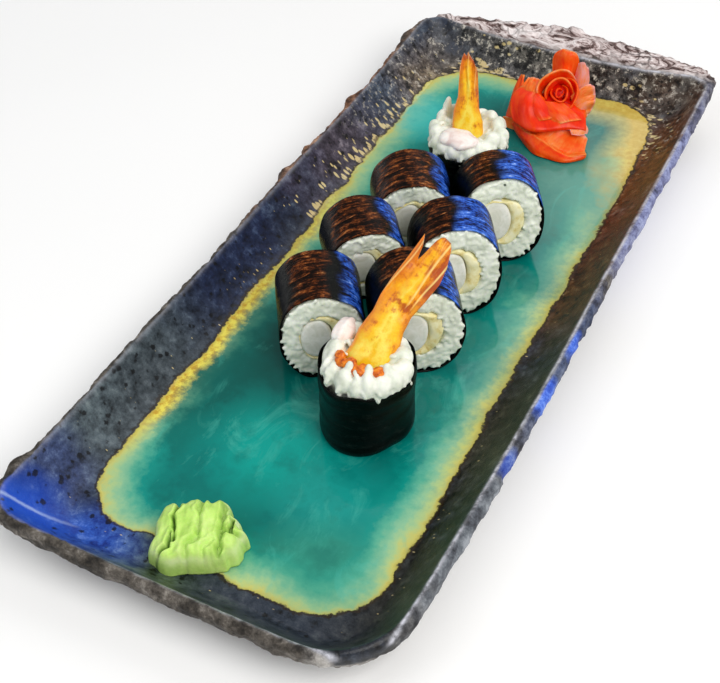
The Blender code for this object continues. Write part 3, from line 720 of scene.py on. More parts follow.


# ------------------------------------------------------------------ lying rolls

# turn about Z, half width, half height, lean of the face and length; then the angles round
# the barrel, in degrees from the right, between which a warm reflection with highlights
# and a blue reflection are painted on
LYING_ROLLS = {
    "roll_left_front": (32.8, 17.8, 18.2, 12.5, 35.0, (78, 128), (32, 58)),
    "roll_right_front": (32.8, 18.8, 20.8, 4.0, 30.6, (88, 118), (34, 72)),
    "roll_left_middle": (36.7, 17.3, 19.6, -6.0, 26.5, (70, 134), (34, 60)),
    "roll_right_middle": (31.1, 18.7, 20.0, 12.5, 28.5, (98, 134), (30, 88)),
    "roll_left_back": (31.0, 17.9, 19.7, -4.0, 27.5, (66, 146), (34, 60)),
    "roll_right_back": (31.0, 18.7, 19.7, 14.0, 27.4, (96, 128), (26, 86)),
}
PRAWN_SHARE = (0.64, 0.84, -0.30)   # half width, half height and place, of the filling's


def section(half_width, half_height, angle, grow=0.0):
    """A roll's section: an oval pressed flat underneath, grown outwards by some mm."""
    square = 1 + 0.035 * np.sin(2 * angle) ** 2
    x = (half_width + grow) * np.cos(angle) * square
    z = (half_height + grow) * np.sin(angle) * square
    return x, np.maximum(z, -half_height + FOOT_FLAT - grow * 0.3)


def make_grain():
    grain, _, _ = ball("grain", 8, 6)
    spots = points(grain)[:, [2, 0, 1]]
    spots[:, 1:] *= np.sqrt(1 + spots[:, :1] ** 2)      # blunt ends
    spots *= np.array(GRAIN)
    spots[:, 2] -= 0.05 * spots[:, 0] ** 2
    spots[:, 1] *= 1 - 0.08 * spots[:, 0] / GRAIN[0]
    set_points(grain, spots)
    return grain


def spread(rng, count, pick, spacing):
    """Random places that keep their distance. pick gives a place from the generator."""
    kept = []
    for _ in range(count * 30):
        spot = pick(rng)
        if all((spot - other).length > spacing for other in kept):
            kept.append(spot)
            if len(kept) == count:
                break
    return kept


def build_lying_roll(name, seed, materials, grain):
    turn, half_width, half_height, lean, length, rust_arc, blue_arc = LYING_ROLLS[name]
    rng = random.Random(seed)
    slope = math.tan(math.radians(lean))
    spin = math.radians(turn)
    cos, sin = math.cos(spin), math.sin(spin)

    def depth_at(depth, z):
        """Distance behind the face: the face leans, the far end is upright."""
        return depth + slope * z * (1 - depth / length)

    ring = np.linspace(0, 2 * math.pi, 25)[:-1]
    ox, oz = section(half_width, half_height, ring)
    outline = np.concatenate([
        stack(ox, SETBACK + slope * oz, oz), stack(ox, length - SETBACK, oz)])
    turned = stack(outline[:, 0] * cos - outline[:, 1] * sin,
                   outline[:, 0] * sin + outline[:, 1] * cos, outline[:, 2])
    shift = centre_of(name + "_nori") - (turned.min(0) + turned.max(0)) / 2

    def placed(x, y, z):
        return stack(x * cos - y * sin, x * sin + y * cos, z) + shift

    # the wrapped sheet, its seam underneath
    wrap, across, along = sheet(name + "_wrap", 120, 24)
    angle = mix(-0.62 * math.pi, 1.56 * math.pi, across)
    lift = -0.45 + 0.55 * ease(across, 0.86, 0.93)
    flat = stack(np.cos(angle) * 20, np.sin(angle) * 20, along * length)
    lift = lift + 0.16 * swells(flat, 9, seed) + 0.05 * swells(flat * (1, 1, 4), 7, seed + 1)
    x, z = section(half_width, half_height, angle, lift)
    edge = 0.25 * swells(stack(np.cos(angle) * 20, np.sin(angle) * 20, 0 * x), 6, seed + 2)
    depth = mix(SETBACK + edge, length - SETBACK - edge, along)
    set_points(wrap, placed(x, depth_at(depth, z), z))
    top = np.degrees(np.arctan2(z, x))
    patch = swells(flat * (1, 1, 1.6), 13, seed + 3) * 7
    # paint the warm and blue reflections onto the sheet by its angle round the barrel
    for label, arc in (("rust", rust_arc), ("blue", blue_arc)):
        mark(wrap, label, ease(top + patch, arc[0] - 6, arc[0] + 6)
             * ease(-top - patch, -arc[1] - 7, -arc[1] + 7))
    thicken(wrap, NORI)
    dress(outward(wrap), materials["nori"], "nori", name + "_nori")

    # the rice: a core with grains pressed into both cut faces, melted together
    inner_width, inner_height = half_width - 0.8, half_height - 0.8
    core, round_, cut = hoop(name + "_grains", 96, 28)
    radial = np.sign(np.cos(cut)) * np.abs(np.cos(cut)) ** 0.35
    lengthwise = np.sign(np.sin(cut)) * np.abs(np.sin(cut)) ** 0.35
    share = mix(FILLING - 0.06, 0.985, (radial + 1) / 2)
    x, z = section(inner_width, inner_height, round_)
    x, z = x * share, z * share
    depth = mix(0.75, length - 0.75, (lengthwise + 1) / 2)
    set_points(core, placed(x, depth_at(depth, z), z))
    outward(core)

    def pick(rng, reach=0.88):
        a, s = rng.uniform(0, 2 * math.pi), math.sqrt(rng.uniform((FILLING + 0.02) ** 2, reach))
        px, pz = section(inner_width, inner_height, a)
        return Vector((float(px) * s, float(pz) * s))

    spots = []
    for back in (False, True):
        chosen = (lambda rng: pick(rng, 0.70)) if back else pick
        for spot in spread(rng, 250, chosen, 1.55):
            depth = length - rng.uniform(0.9, 1.4) if back else rng.uniform(0.85, 1.35)
            y = float(depth_at(depth, spot.y))
            spots.append(Matrix.Translation((spot.x, y, spot.y))
                         @ Matrix.Rotation(rng.uniform(0, math.pi), 4, "Y")
                         @ Matrix.Rotation(rng.uniform(-0.3, 0.3), 4, "Z")
                         @ Matrix.Scale(rng.uniform(0.62, 0.85), 4))
    world = Matrix.Translation(shift) @ Matrix.Rotation(spin, 4, "Z")
    join(core, strew(name + "_loose", grain, [world @ spot for spot in spots]))
    melt(core, 0.53, 3)
    dress(core, materials["rice"], "rice", name + "_rice")

    # the filling: a prawn with its batter clasping it from the right
    hole_width = inner_width * FILLING + 0.2
    hole_height = (inner_height - 0.4) * FILLING + 0.2
    wide, tall, left = PRAWN_SHARE
    batter, round_, cut = hoop(name + "_batter_cut", 84, 30)
    radial = (np.sign(np.cos(cut)) * np.abs(np.cos(cut)) ** 0.4 + 1) / 2
    lengthwise = (np.sign(np.sin(cut)) * np.abs(np.sin(cut)) ** 0.4 + 1) / 2
    wobble = 1 + 0.08 * swells(stack(np.cos(round_) * 9, np.sin(round_) * 9, 0 * cut), 7, seed + 4)
    out_x, out_z = np.cos(round_) * hole_width * wobble, np.sin(round_) * hole_height * wobble
    in_x = (np.cos(round_) * wide + left) * hole_width
    in_z = np.sin(round_) * hole_height * tall
    x, z = mix(in_x, out_x, radial), mix(in_z, out_z, radial)
    depth = mix(0.45, length - 0.45, lengthwise)
    depth = depth + 0.4 * swells(stack(x, depth, z), 4, seed + 5)
    set_points(batter, placed(x, depth_at(depth, z), z))
    dress(outward(batter), materials["batter"], "batter", name + "_batter")

    prawn, round_, up = ball(name + "_prawn_cut", 56, 56)
    reach = np.clip((math.pi / 2 - np.abs(up)) / 0.55, 0, 1)
    lengthwise = np.clip(up / (math.pi / 2 - 0.50), -1, 1)
    crown = 0.25 * (1 - reach ** 2)
    bumpy = 1 + 0.05 * swells(stack(np.cos(round_) * 7, np.sin(round_) * 7, 0 * up), 6, seed + 6)
    x = (np.cos(round_) * (wide + 0.03) * bumpy * reach + left) * hole_width
    z = np.sin(round_) * hole_height * (tall + 0.03) * bumpy * reach
    depth = mix(0.55, length - 0.55, (lengthwise + 1) / 2) + np.sign(up) * crown
    set_points(prawn, placed(x, depth_at(depth, z), z))
    dress(outward(prawn), materials["meat"], "prawn", name + "_prawn")


# ------------------------------------------------------------------ standing end pieces

FRONT = math.radians(-65)       # the side over which the front piece's rice droops
CORNER = math.radians(-38)      # from there to the soft corner of its foot
# angle in degrees, reach, height over the nori, and half sizes outwards, across and upwards
# of the big soft lumps of rice that droop over the nori's edge
END_PIECES = {
    "end_front": {
        "radius": 17.8, "height": 31.0, "rise": 8.0, "tuck": 2.6, "corner": 3.0,
        "axis": (0.36, 0.66, 0.66),
        "side": (0.88, -0.02, -0.46), "length": 48.0, "thickness": (5.6, 3.0, 0.9),
        "edges": ((0.0, -7.0, 9.5), (0.13, -8.6, 9.2), (0.31, -8.5, 5.6), (0.44, -9.8, 4.4),
                  (0.60, -10.3, 5.0), (0.77, -10.2, 5.2), (0.92, -10.3, 3.6),
                  (1.0, -10.4, 1.6)),
        "tip": ((-1.0, 1.0), (-0.84, -0.6), (-0.64, -3.0), (-0.48, -7.0), (-0.38, -8.5),
                (-0.30, -4.5), (-0.22, 1.0), (-0.08, 3.4), (0.1, 4.2), (0.6, 3.8),
                (0.82, 2.2), (1.0, -0.8)),
        "ridges": ((-9.3, 0.5, 0.8), (-5.6, 1.3, -0.7), (-2.4, 0.5, 0.5), (0.0, 0.55, 1.0),
                   (1.5, 0.5, -0.5), (2.9, 0.5, 1.0)),
        "curd": ((0, 0, 0), (1, 1, 1)),
        "lumps": ((-96, 12.0, 5.4, 1.9, 1.9, 5.0), (-60, 12.2, 5.2, 2.0, 2.0, 5.2),
                  (-28, 13.2, 5.0, 1.9, 2.2, 4.6), (-98, 14.6, 2.6, 3.6, 3.7, 5.2), (-78, 15.6, 1.9, 3.2, 2.6, 4.4),
                  (-62, 14.9, 3.2, 3.8, 2.9, 5.6), (-44, 15.8, 2.2, 3.4, 3.4, 4.8),
                  (-24, 15.4, 2.6, 3.6, 3.6, 4.8), (-2, 15.6, 3.2, 3.4, 4.0, 4.6),
                  (22, 15.2, 3.8, 3.8, 3.8, 4.4), (48, 14.8, 3.4, 3.8, 4.0, 4.6),
                  (76, 15.0, 3.6, 3.8, 4.2, 4.4), (106, 15.2, 3.4, 3.8, 4.2, 4.6),
                  (136, 15.2, 3.8, 3.8, 4.4, 4.6), (166, 14.8, 3.8, 3.4, 4.2, 4.6),
                  (190, 14.2, 3.4, 3.4, 3.6, 5.2), (212, 14.2, 2.6, 3.2, 3.4, 4.8),
                  (238, 14.8, 2.0, 3.4, 3.2, 4.8)),
        "crumbs": ((-134, 10.2, 8.2, 2.0), (-122, 11.4, 7.8, 2.0), (-110, 10.8, 8.0, 1.8),
                   (-84, 11.2, 7.6, 2.2), (-76, 11.6, 7.4, 2.4), (-44, 12.2, 7.2, 2.1),
                   (-100, 9.4, 8.6, 2.0), (-70, 10.4, 8.0, 2.0)),
    },
    "end_back": {
        "radius": 17.2, "height": 31.0, "rise": 7.0, "tuck": 0.0, "corner": 0.0,
        "axis": (-0.16, 0.23, 0.95),
        "side": (0.90, 0.42, 0.08), "length": 36.0, "thickness": (4.6, 2.8, 0.9),
        "edges": ((0.0, -7.4, 6.5), (0.12, -7.2, 6.4), (0.30, -6.4, 4.9), (0.45, -4.4, 4.8),
                  (0.70, -3.6, 4.7), (0.88, -3.1, 4.1), (1.0, -2.0, 2.8)),
        "tip": ((-1.0, -2.0), (-0.6, 0.2), (-0.25, -1.2), (0.1, 0.6), (0.4, -1.0), (1.0, -3.5)),
        "ridges": ((-3.6, 0.5, 0.7), (-1.0, 0.6, -0.8), (0.8, 0.5, 0.6), (2.2, 0.5, -0.8),
                   (3.4, 0.5, 0.6)),
        "curd": ((8.2, -1.6, 0.6), (1.35, 1.4, 0.95)),
        "lumps": ((-92, 14.6, 2.4, 4.0, 3.8, 4.2), (-66, 15.4, 2.2, 3.2, 3.4, 3.8),
                  (-50, 14.2, 3.6, 3.4, 2.6, 3.6), (-34, 15.6, 2.2, 3.2, 3.2, 3.6),
                  (-16, 13.8, 4.8, 3.4, 4.6, 4.0), (-2, 16.4, 2.0, 2.4, 2.2, 3.0),
                  (12, 15.0, 3.6, 3.4, 3.0, 4.2), (30, 13.2, 5.2, 3.4, 3.8, 4.6),
                  (48, 15.2, 3.4, 3.2, 3.0, 4.0), (66, 13.8, 4.6, 3.4, 3.6, 4.2),
                  (88, 15.0, 3.0, 3.2, 3.6, 3.8), (112, 14.0, 4.6, 3.2, 3.2, 4.6),
                  (128, 13.4, 7.4, 2.0, 2.4, 6.6), (144, 14.4, 5.8, 2.4, 2.8, 4.6),
                  (158, 14.6, 8.6, 1.9, 2.0, 7.6), (172, 14.6, 5.6, 2.4, 2.6, 5.0),
                  (190, 15.8, 3.6, 2.8, 2.4, 4.0), (208, 14.6, 3.8, 3.2, 3.4, 4.4),
                  (228, 15.4, 2.4, 3.0, 3.0, 3.8), (248, 14.8, 2.6, 3.6, 3.4, 3.8)),
        "crumbs": (),
    },
}


def build_end_piece(name, seed, materials, grain):
    piece = END_PIECES[name]
    rng = random.Random(seed)
    radius, height, rise = piece["radius"], piece["height"], piece["rise"]
    low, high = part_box(name + "_nori")
    base = np.array([(low.x + high.x) / 2, (low.y + high.y) / 2, low.z]) / MM

    # the wrapped sheet
    wrap, across, along = sheet(name + "_wrap", 120, 30)
    angle = mix(0.35 * math.pi, 2.46 * math.pi, across)
    flat = stack(np.cos(angle) * 18, np.sin(angle) * 18, along * height)
    reach = radius - 0.3 + 0.5 * ease(across, 0.86, 0.93) + 0.02 * radius * np.cos(4 * angle)
    reach += 0.35 * swells(flat * (1, 1, 3), 12, seed) * (0.4 + 0.6 * along)
    reach += 0.7 * ease(along, 0.5, 1.0) - 0.9 * ease(along, 0.12, 0.0) ** 2
    reach += piece["corner"] * (1 - 0.8 * along) * ease(np.cos(angle - FRONT - CORNER), 0.25, 1.0)
    ragged = 0.5 * swells(stack(flat[:, 0], flat[:, 1], 0 * angle), 7, seed + 1)
    behind = ease(-np.cos(angle - FRONT), -0.6, 0.1)
    z = mix(0.15, height - 0.6 + ragged + 0.6 * piece["tuck"] * behind, along)
    set_points(wrap, stack(np.cos(angle) * reach, np.sin(angle) * reach, z) + base)
    # the end pieces' sheets get no painted reflections
    mark(wrap, "rust", 0 * angle)
    mark(wrap, "blue", 0 * angle)
    thicken(wrap, NORI)
    dress(outward(wrap), materials["nori"], "nori", name + "_nori")

    # the rice: a core, big drooping lumps and single grains, melted together
    core, round_, cut = hoop(name + "_grains", 96, 36)
    turn = (cut / (2 * math.pi)) % 1.0          # 0 outside, 0.25 on top, 0.5 inside
    profile = (
        (0.00, radius - 1.5, 0.5 * height), (0.08, radius - 1.5, height - 1.5),
        (0.14, radius - 1.2, height + 0.8), (0.20, radius - 1.0, height + 0.42 * rise),
        (0.27, radius - 2.6, height + 0.66 * rise), (0.34, radius - 5.0, height + 0.70 * rise),
        (0.42, radius - 7.5, height + 0.60 * rise), (0.50, 4.6, height + 3.0),
        (0.60, 4.4, height * 0.8), (0.75, 4.4, 2.0), (0.85, 12.0, 0.5),
        (0.95, radius - 1.5, 2.0), (1.00, radius - 1.5, 0.5 * height))
    where = np.array(profile)
    reach = np.interp(turn, where[:, 0], where[:, 1])
    up = np.interp(turn, where[:, 0], where[:, 2])
    set_points(core, stack(np.cos(round_) * reach, np.sin(round_) * reach, up) + base)
    outward(core)
    big, _, _ = ball("lump", 24, 16)
    blobs = []
    for degrees, out, level, deep, wide, tall in piece["lumps"]:
        out -= 0.8 * piece["tuck"] * float(
            ease(-math.cos(math.radians(degrees) - FRONT), -0.6, 0.1))
        blobs.append(Matrix.Translation(base) @ Matrix.Rotation(math.radians(degrees), 4, "Z")
                     @ Matrix.Translation((out, 0, height + level))
                     @ Matrix.Rotation(math.radians(-12), 4, "Y")
                     @ Matrix.Diagonal((deep, wide, tall, 1)))
    tiers = ((radius + 0.2, -0.6, 78, 22), (radius + 0.3, 2.0, 60, 20), (radius - 1.2, 4.9, 35, 18),
             (radius - 4.0, 6.6, 8, 16), (radius - 7.2, 6.2, -12, 12))
    spots = []
    for tier, (reach, level, droop, count) in enumerate(tiers):
        for index in range(count):
            a = 2 * math.pi * (index + 0.5 * (tier % 2) + rng.uniform(-0.3, 0.3)) / count
            lean = math.radians(droop + rng.uniform(-18, 18))
            tuck = piece["tuck"] * float(ease(-math.cos(a - FRONT), -0.6, 0.1))
            spots.append(
                Matrix.Translation(base) @ Matrix.Rotation(a, 4, "Z")
                @ Matrix.Translation((reach - tuck + rng.uniform(-0.5, 0.4), 0,
                                      height + level + rng.uniform(-0.8, 0.7) + (rise - 8) * 0.6))
                @ Matrix.Rotation(lean, 4, "Y") @ Matrix.Rotation(rng.uniform(-0.5, 0.5), 4, "Z")
                @ Matrix.Scale(rng.uniform(0.75, 1.05), 4))
    join(core, strew(name + "_blobs", big, blobs), strew(name + "_loose", grain, spots))
    bpy.data.objects.remove(big)
    melt(core, 0.53, 2)
    roughen(core, "CLOUDS", 3.0, 0.5, noise_depth=2)
    dress(core, materials["bright rice"], "rice", name + "_rice")
    if piece["crumbs"]:
        bit, _, _ = ball("bit", 16, 12)
        spots = []
        for degrees, out, level, size in piece["crumbs"]:
            spots.append(Matrix.Translation(base) @ Matrix.Rotation(math.radians(degrees), 4, "Z")
                         @ Matrix.Translation((out, 0, height + level - 0.8))
                         @ Matrix.Diagonal((size, size * 1.25, size * 0.9, 1)))
        crumbs = strew(name + "_crumbs", bit, spots)
        bpy.data.objects.remove(bit)
        melt(crumbs, 0.35, 1)
        roughen(crumbs, "CLOUDS", 1.8, 1.0, noise_depth=2)
        dress(crumbs, materials["crumbs"], "batter")
    build_tail(name, base, seed, materials)
    build_cheese(name, seed, materials)


def build_tail(name, base, seed, materials):
    """The prawn's tail: thick at its foot, flattening into a forked fan. Its edges are
    given as left and right reach at shares of its length, its tip as reach across it."""
    piece = END_PIECES[name]
    axis = Vector(piece["axis"]).normalized()
    side = Vector(piece["side"])
    side = (side - axis * side.dot(axis)).normalized()
    through = axis.cross(side)
    if through.dot(Vector((0.34, -0.63, 0.70))) < 0:
        through = -through
    axis, side, through = (np.array(way) for way in (axis, side, through))
    tail, round_, up = ball(name + "_tail", 100, 120)
    u, v = np.cos(round_), np.sin(round_)
    whole = up / math.pi + 0.5
    foot_part = 0.16
    share = np.clip((whole - foot_part) / (1 - foot_part), 0, 1)
    below = np.clip((foot_part - whole) / foot_part, 0, 1)
    edges = np.array(piece["edges"])
    left = np.interp(share, edges[:, 0], edges[:, 1])
    right = np.interp(share, edges[:, 0], edges[:, 2])
    pole = up > up.max() - 0.001
    last_ring = (up > up[~pole].max() - 0.001) & ~pole
    closing = np.clip((1 - share) / 0.03, 0, 1) ** 0.5 * np.clip((1 - below) / 0.3, 0, 1) ** 0.5
    closing = np.where(last_ring, 0, closing)
    middle, half = (left + right) / 2, (right - left) / 2
    thick = np.interp(share, (0, 0.45, 1), piece["thickness"])
    tips = np.array(piece["tip"])
    fork = np.interp(u, tips[:, 0], tips[:, 1])
    length = piece["length"]
    reach = share * length + fork * ease(share, 0.74, 0.95) * share
    reach = reach - below * 10
    ribs = 0 * u
    for place, width, height in piece["ridges"]:
        ribs += height * np.exp(-((u * half + middle - place
                                   + 0.5 * np.sin(share * 9 + place)) / width) ** 2)
    ribs *= ease(share, 0.35, 0.6)
    bow = 0.9 * ease(share, 0.4, 1.0) * u ** 2
    lift = v * thick * closing + (0.8 * ribs + bow) * closing
    lift = lift + 0.35 * swells(stack(u * half, v * thick * closing, reach), 6, seed + 5)
    foot = base + np.array([0, 0, piece["height"] + 3.8])
    across = middle + u * half * mix(closing, 1, ease(share, 0.5, 0.9))
    spots = (foot + axis * reach[:, None] + side * across[:, None]
             + through * lift[:, None])
    set_points(tail, spots)
    mark(tail, "up", share)
    mark(tail, "side", u)
    mark(tail, "ridge", np.clip(ribs, 0, 1))
    drop(tail, pole)            # the last ring, pinched flat, closes the forked tip instead
    dress(outward(tail), materials["tail"], "prawn_tail", name + "_prawn")


def build_cheese(name, seed, materials):
    """A smooth folded lump beside the tail."""
    low, high = (np.array(corner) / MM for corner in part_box(name + "_cheese"))
    lump, _, _ = ball(name + "_curd", 64, 44)
    unit = points(lump)
    shift, grow = (np.array(part) for part in END_PIECES[name]["curd"])
    half = (high - low) / 2 * grow
    low, high = low + shift, high + shift
    folds = 1 + 0.07 * swells(unit * half, 5, seed + 7) + 0.05 * np.sin(unit[:, 0] * 7)
    set_points(lump, (low + high) / 2 + unit * half * folds[:, None] * 0.97)
    dress(outward(lump), materials["cheese"], "cheese", name + "_cheese")


# ------------------------------------------------------------------ ginger and wasabi

# the ginger's slices: rows of points from foot to free edge, then its ruffle and its tone
# from deep red at 0 to pink at 1
GINGER_SLICES = (
    # the lowest slice lies open like a shallow bowl: its outer wall, then its inside
    ((((-4, 121, 9.0), (2.6, 114, 8.7), (12.6, 105, 8.7), (20.7, 103.7, 8.7),
      (28.8, 104, 8.7), (36, 110.4, 8.8)),
     ((-4.4, 119, 12.5), (3.2, 112.2, 12.0), (12.0, 106.6, 11.8), (20, 104.8, 10.6),
      (29, 104.8, 9.6), (37, 110.8, 9.8)),
     ((-2.6, 117, 16), (5, 112.6, 15.2), (12, 110.4, 14.6), (20, 108.4, 12.8),
      (29, 107, 10.6), (37.2, 111.3, 11.0))), 0.15, 0.52),
    ((((-2.6, 117, 16), (5, 112.6, 15.2), (12, 110.4, 14.6), (20, 108.4, 12.8),
      (29, 107, 10.6), (37.2, 111.3, 11.0)),
     ((-1, 118.5, 15.6), (7, 114.6, 13.6), (14, 112.6, 12.8), (21, 111.6, 11.2),
      (29, 111.6, 10.0), (35.4, 114.6, 10.8)),
     ((0, 120, 17), (9, 117, 17), (17, 118.5, 16.5), (24, 121, 15.5), (30, 123, 14),
      (34, 122, 13))), 0.5, 0.66),
    # the broad front slice, its lower edge the long fold
    ((((0, 118, 16), (8, 114, 16), (16, 117, 16), (24, 122, 16), (31, 126, 15)),
     ((-2, 114, 18), (7.8, 109.8, 18), (16.3, 113, 18.6), (24.5, 118.4, 18.6),
      (32.4, 122.6, 17)),
     ((-6, 119, 21.5), (3, 114.5, 23.5), (12, 118, 22.5), (21, 123, 22.5), (30, 128, 20.5)),
     ((-7.4, 126, 25), (1, 121, 27.5), (10, 123, 25.5), (19, 128, 25), (28, 133, 22)),
     ((-5, 131, 27), (3, 128, 28.5), (10, 128, 24), (17, 131, 23), (25, 136, 20))), 0.3, 0.42),
    # folds running down over it from the left
    ((((-5, 127, 24.5), (0, 127, 27.5), (5, 127, 28)),
     ((-1, 119.5, 24.5), (6, 119.5, 26.6), (11, 122.5, 26.0)),
     ((8, 113.6, 20.4), (14, 115.6, 21.8), (18, 119.6, 22.4))), 0.08, 0.44),
    ((((6, 124, 26), (12, 124.4, 26.4), (17, 127.4, 26)),
     ((13, 118.4, 22.6), (18, 121, 24.4), (23, 125.6, 24)),
     ((20, 117, 20), (24, 119.8, 21), (29, 124.6, 20.6))), 0.08, 0.56),
    # the low pink fold at the right, over the gap
    ((((24, 122, 17.4), (28, 124.2, 17.2), (31, 126.6, 16.8)),
     ((25.6, 118.6, 17.6), (29.6, 120.6, 17.2), (33, 124, 16.4)),
     ((27, 117.8, 15.6), (30.6, 119.4, 15.2), (33, 122.6, 15.0))), 0.1, 0.86),
    # the left flank and the low brown wing
    ((((-2, 118, 17), (-6, 120, 15), (-9, 123, 13)),
     ((-3, 124, 24), (-8, 127, 20), (-11, 130, 14)),
     ((-4, 130, 27), (-8.5, 133, 25), (-11, 135, 19)),
     ((-5.5, 135, 31), (-7.5, 137, 29.5), (-9.5, 138, 25))), 0.4, 0.50),
    ((((-1, 120, 15), (-2, 119, 12), (-2, 119, 9.4)),
     ((-8, 121, 14.4), (-8, 120.5, 11.5), (-8, 120, 9.2)),
     ((-12, 122.4, 12.6), (-12.6, 122, 11.4), (-12, 121.4, 10.0))), 0.3, 0.74),
    # thin peaks at the back left
    ((((-5, 124, 22), (0, 123, 25), (5, 124, 26)),
     ((-4.5, 130, 27), (0, 129, 29), (5, 130, 30)),
     ((-3.5, 136, 29.5), (0, 135.5, 30.5), (4, 136, 29))), 0.35, 0.66),
    # the tall tongue at the back, the pink lobe and the ruffle at the right
    ((((9, 141, 24), (13, 139, 27), (17, 141, 24)),
     ((5.8, 144.6, 33), (12.5, 141.5, 36), (18.6, 144.6, 33)),
     ((5.6, 145.8, 39), (12.2, 143, 42), (18.4, 145.6, 39.5)),
     ((8.6, 146.4, 42.6), (12.4, 145.4, 44.8), (16.4, 146, 42.6))), 0.15, 0.58),
    ((((17.5, 140, 24), (21.5, 138.5, 27), (25, 140, 22)),
     ((18.6, 142.4, 33), (22.2, 140, 36), (25.6, 142.4, 32)),
     ((19.2, 142.4, 39.5), (21.8, 141.4, 41.6), (24.6, 142.4, 38))), 0.3, 0.92),
    ((((20, 133, 27), (23, 130, 22), (24.6, 128, 15)),
     ((25, 135, 32.4), (27.4, 132, 26), (27.6, 130.4, 16.6)),
     ((28.4, 136.6, 34.4), (31.6, 135.4, 29.5), (31.2, 134.6, 23), (28.6, 133, 16.6))), 1.2, 0.78),
)
# curls nested in a rose: radius, height of foot and rim, flare, first and last angle, tone
GINGER_ROSE = (14.6, 131.6, 27.5)
GINGER_CURLS = ((1.5, -1.0, 3.4, 0.5, -300, 40, 0.16), (3.2, -2.0, 4.0, 1.0, -210, 80, 0.26),
                (5.2, -3.5, 4.6, 1.6, -10, 230, 0.40), (6.8, -5.0, 3.2, 2.2, -150, 90, 0.30),
                (8.6, -6.0, 3.4, 2.4, 30, 220, 0.56), (9.6, -8.0, 1.0, 3.0, -150, -10, 0.42))


def spline(values, share):
    """A smooth run through rows of points, one row further at each equal share."""
    last = len(values) - 1
    row = np.clip((share * last).astype(int), 0, last - 1)
    t = (share * last - row)[:, None]
    rows = np.concatenate([2 * values[:1] - values[1:2], values, 2 * values[-1:] - values[-2:-1]])
    a, b, c, d = (rows[row + step, np.arange(len(share))] for step in range(4))
    return b + 0.5 * t * (c - a + t * (2 * a - 5 * b + 4 * c - d + t * (3 * (b - c) + d - a)))


def slice_points(net, across, along):
    rows = [spline(np.repeat(np.array(row, float)[:, None], len(across), 1), across)
            for row in net]
    return spline(np.array(rows), along)


def build_ginger(materials):
    core, _, _ = ball("ginger_heap", 64, 40)
    low, high = (np.array(corner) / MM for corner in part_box("ginger"))
    unit = points(core)
    spots = unit * np.array([13, 8, 9])
    spots += unit * (0.8 * swells(spots, 12, 77))[:, None]
    spots[:, 1] += 0.45 * spots[:, 2]
    spots[:, 0] += 0.55 * (spots[:, 1])
    spots += np.array([12, 125.5, 17.2])
    spots[:, 2] = np.maximum(spots[:, 2], low[2] + 0.2)
    set_points(core, spots)
    mark(core, "tone", np.full(len(spots), 0.12))
    outward(core)
    pieces = []
    for index, (rows, ruffle, tone) in enumerate(GINGER_SLICES):
        piece, across, along = sheet(f"slice_{index}", 40, 40)
        spots = slice_points(rows, across, along)
        wave = np.sin(across * 17 + index) + 0.6 * np.sin(across * 31 + along * 5 + index)
        spots += ruffle * (along ** 2 * wave)[:, None] * np.array([0.3, -0.5, 0.8])
        spots += (0.35 * swells(spots, 6, 300 + index))[:, None] * np.array([0.3, -0.6, 0.7])
        set_points(piece, spots)
        rim = np.maximum(ease(along, 0.86, 1.0), ease(np.abs(across - 0.5), 0.43, 0.5) * 0.6)
        mark(piece, "tone", tone + 0.22 * rim)
        thicken(piece, 0.9)
        pieces.append(outward(piece))
    facing = Vector((0.20, -0.72, 0.66)).to_track_quat("Z", "X").to_matrix()
    facing = np.array(facing)
    bud, _, _ = ball("bud", 32, 20)
    set_points(bud, (points(bud) * (8.6, 8.6, 7.5) - (0, 0, 7.4)) @ facing.T
               + np.array(GINGER_ROSE))
    mark(bud, "tone", np.full(len(bud.data.vertices), 0.2))
    pieces.append(outward(bud))
    for index, (radius, foot, rim, flare, start, end, tone) in enumerate(GINGER_CURLS):
        piece, across, along = sheet(f"curl_{index}", 56, 22)
        a = np.radians(mix(start, end, across) - 90)    # counted from the right as seen
        ends = ease(across, 0, 0.25) * ease(across, 1, 0.75)
        reach = radius + flare * along ** 2 + 0.35 * np.sin(across * 14 + index)
        z = mix(foot, mix(foot + 2, rim, ends), along) + 0.35 * np.sin(across * 19 + index)
        local = stack(np.cos(a) * reach, np.sin(a) * reach, z)
        set_points(piece, local @ facing.T + np.array(GINGER_ROSE))
        mark(piece, "tone", tone + 0.3 * ease(along, 0.8, 1.0))
        thicken(piece, 0.8)
        pieces.append(outward(piece))
    join(core, *pieces)
    spots = np.clip(points(core), low + 0.1, high - 0.1)
    set_points(core, spots)
    dress(core, materials["ginger"], "ginger", "ginger")


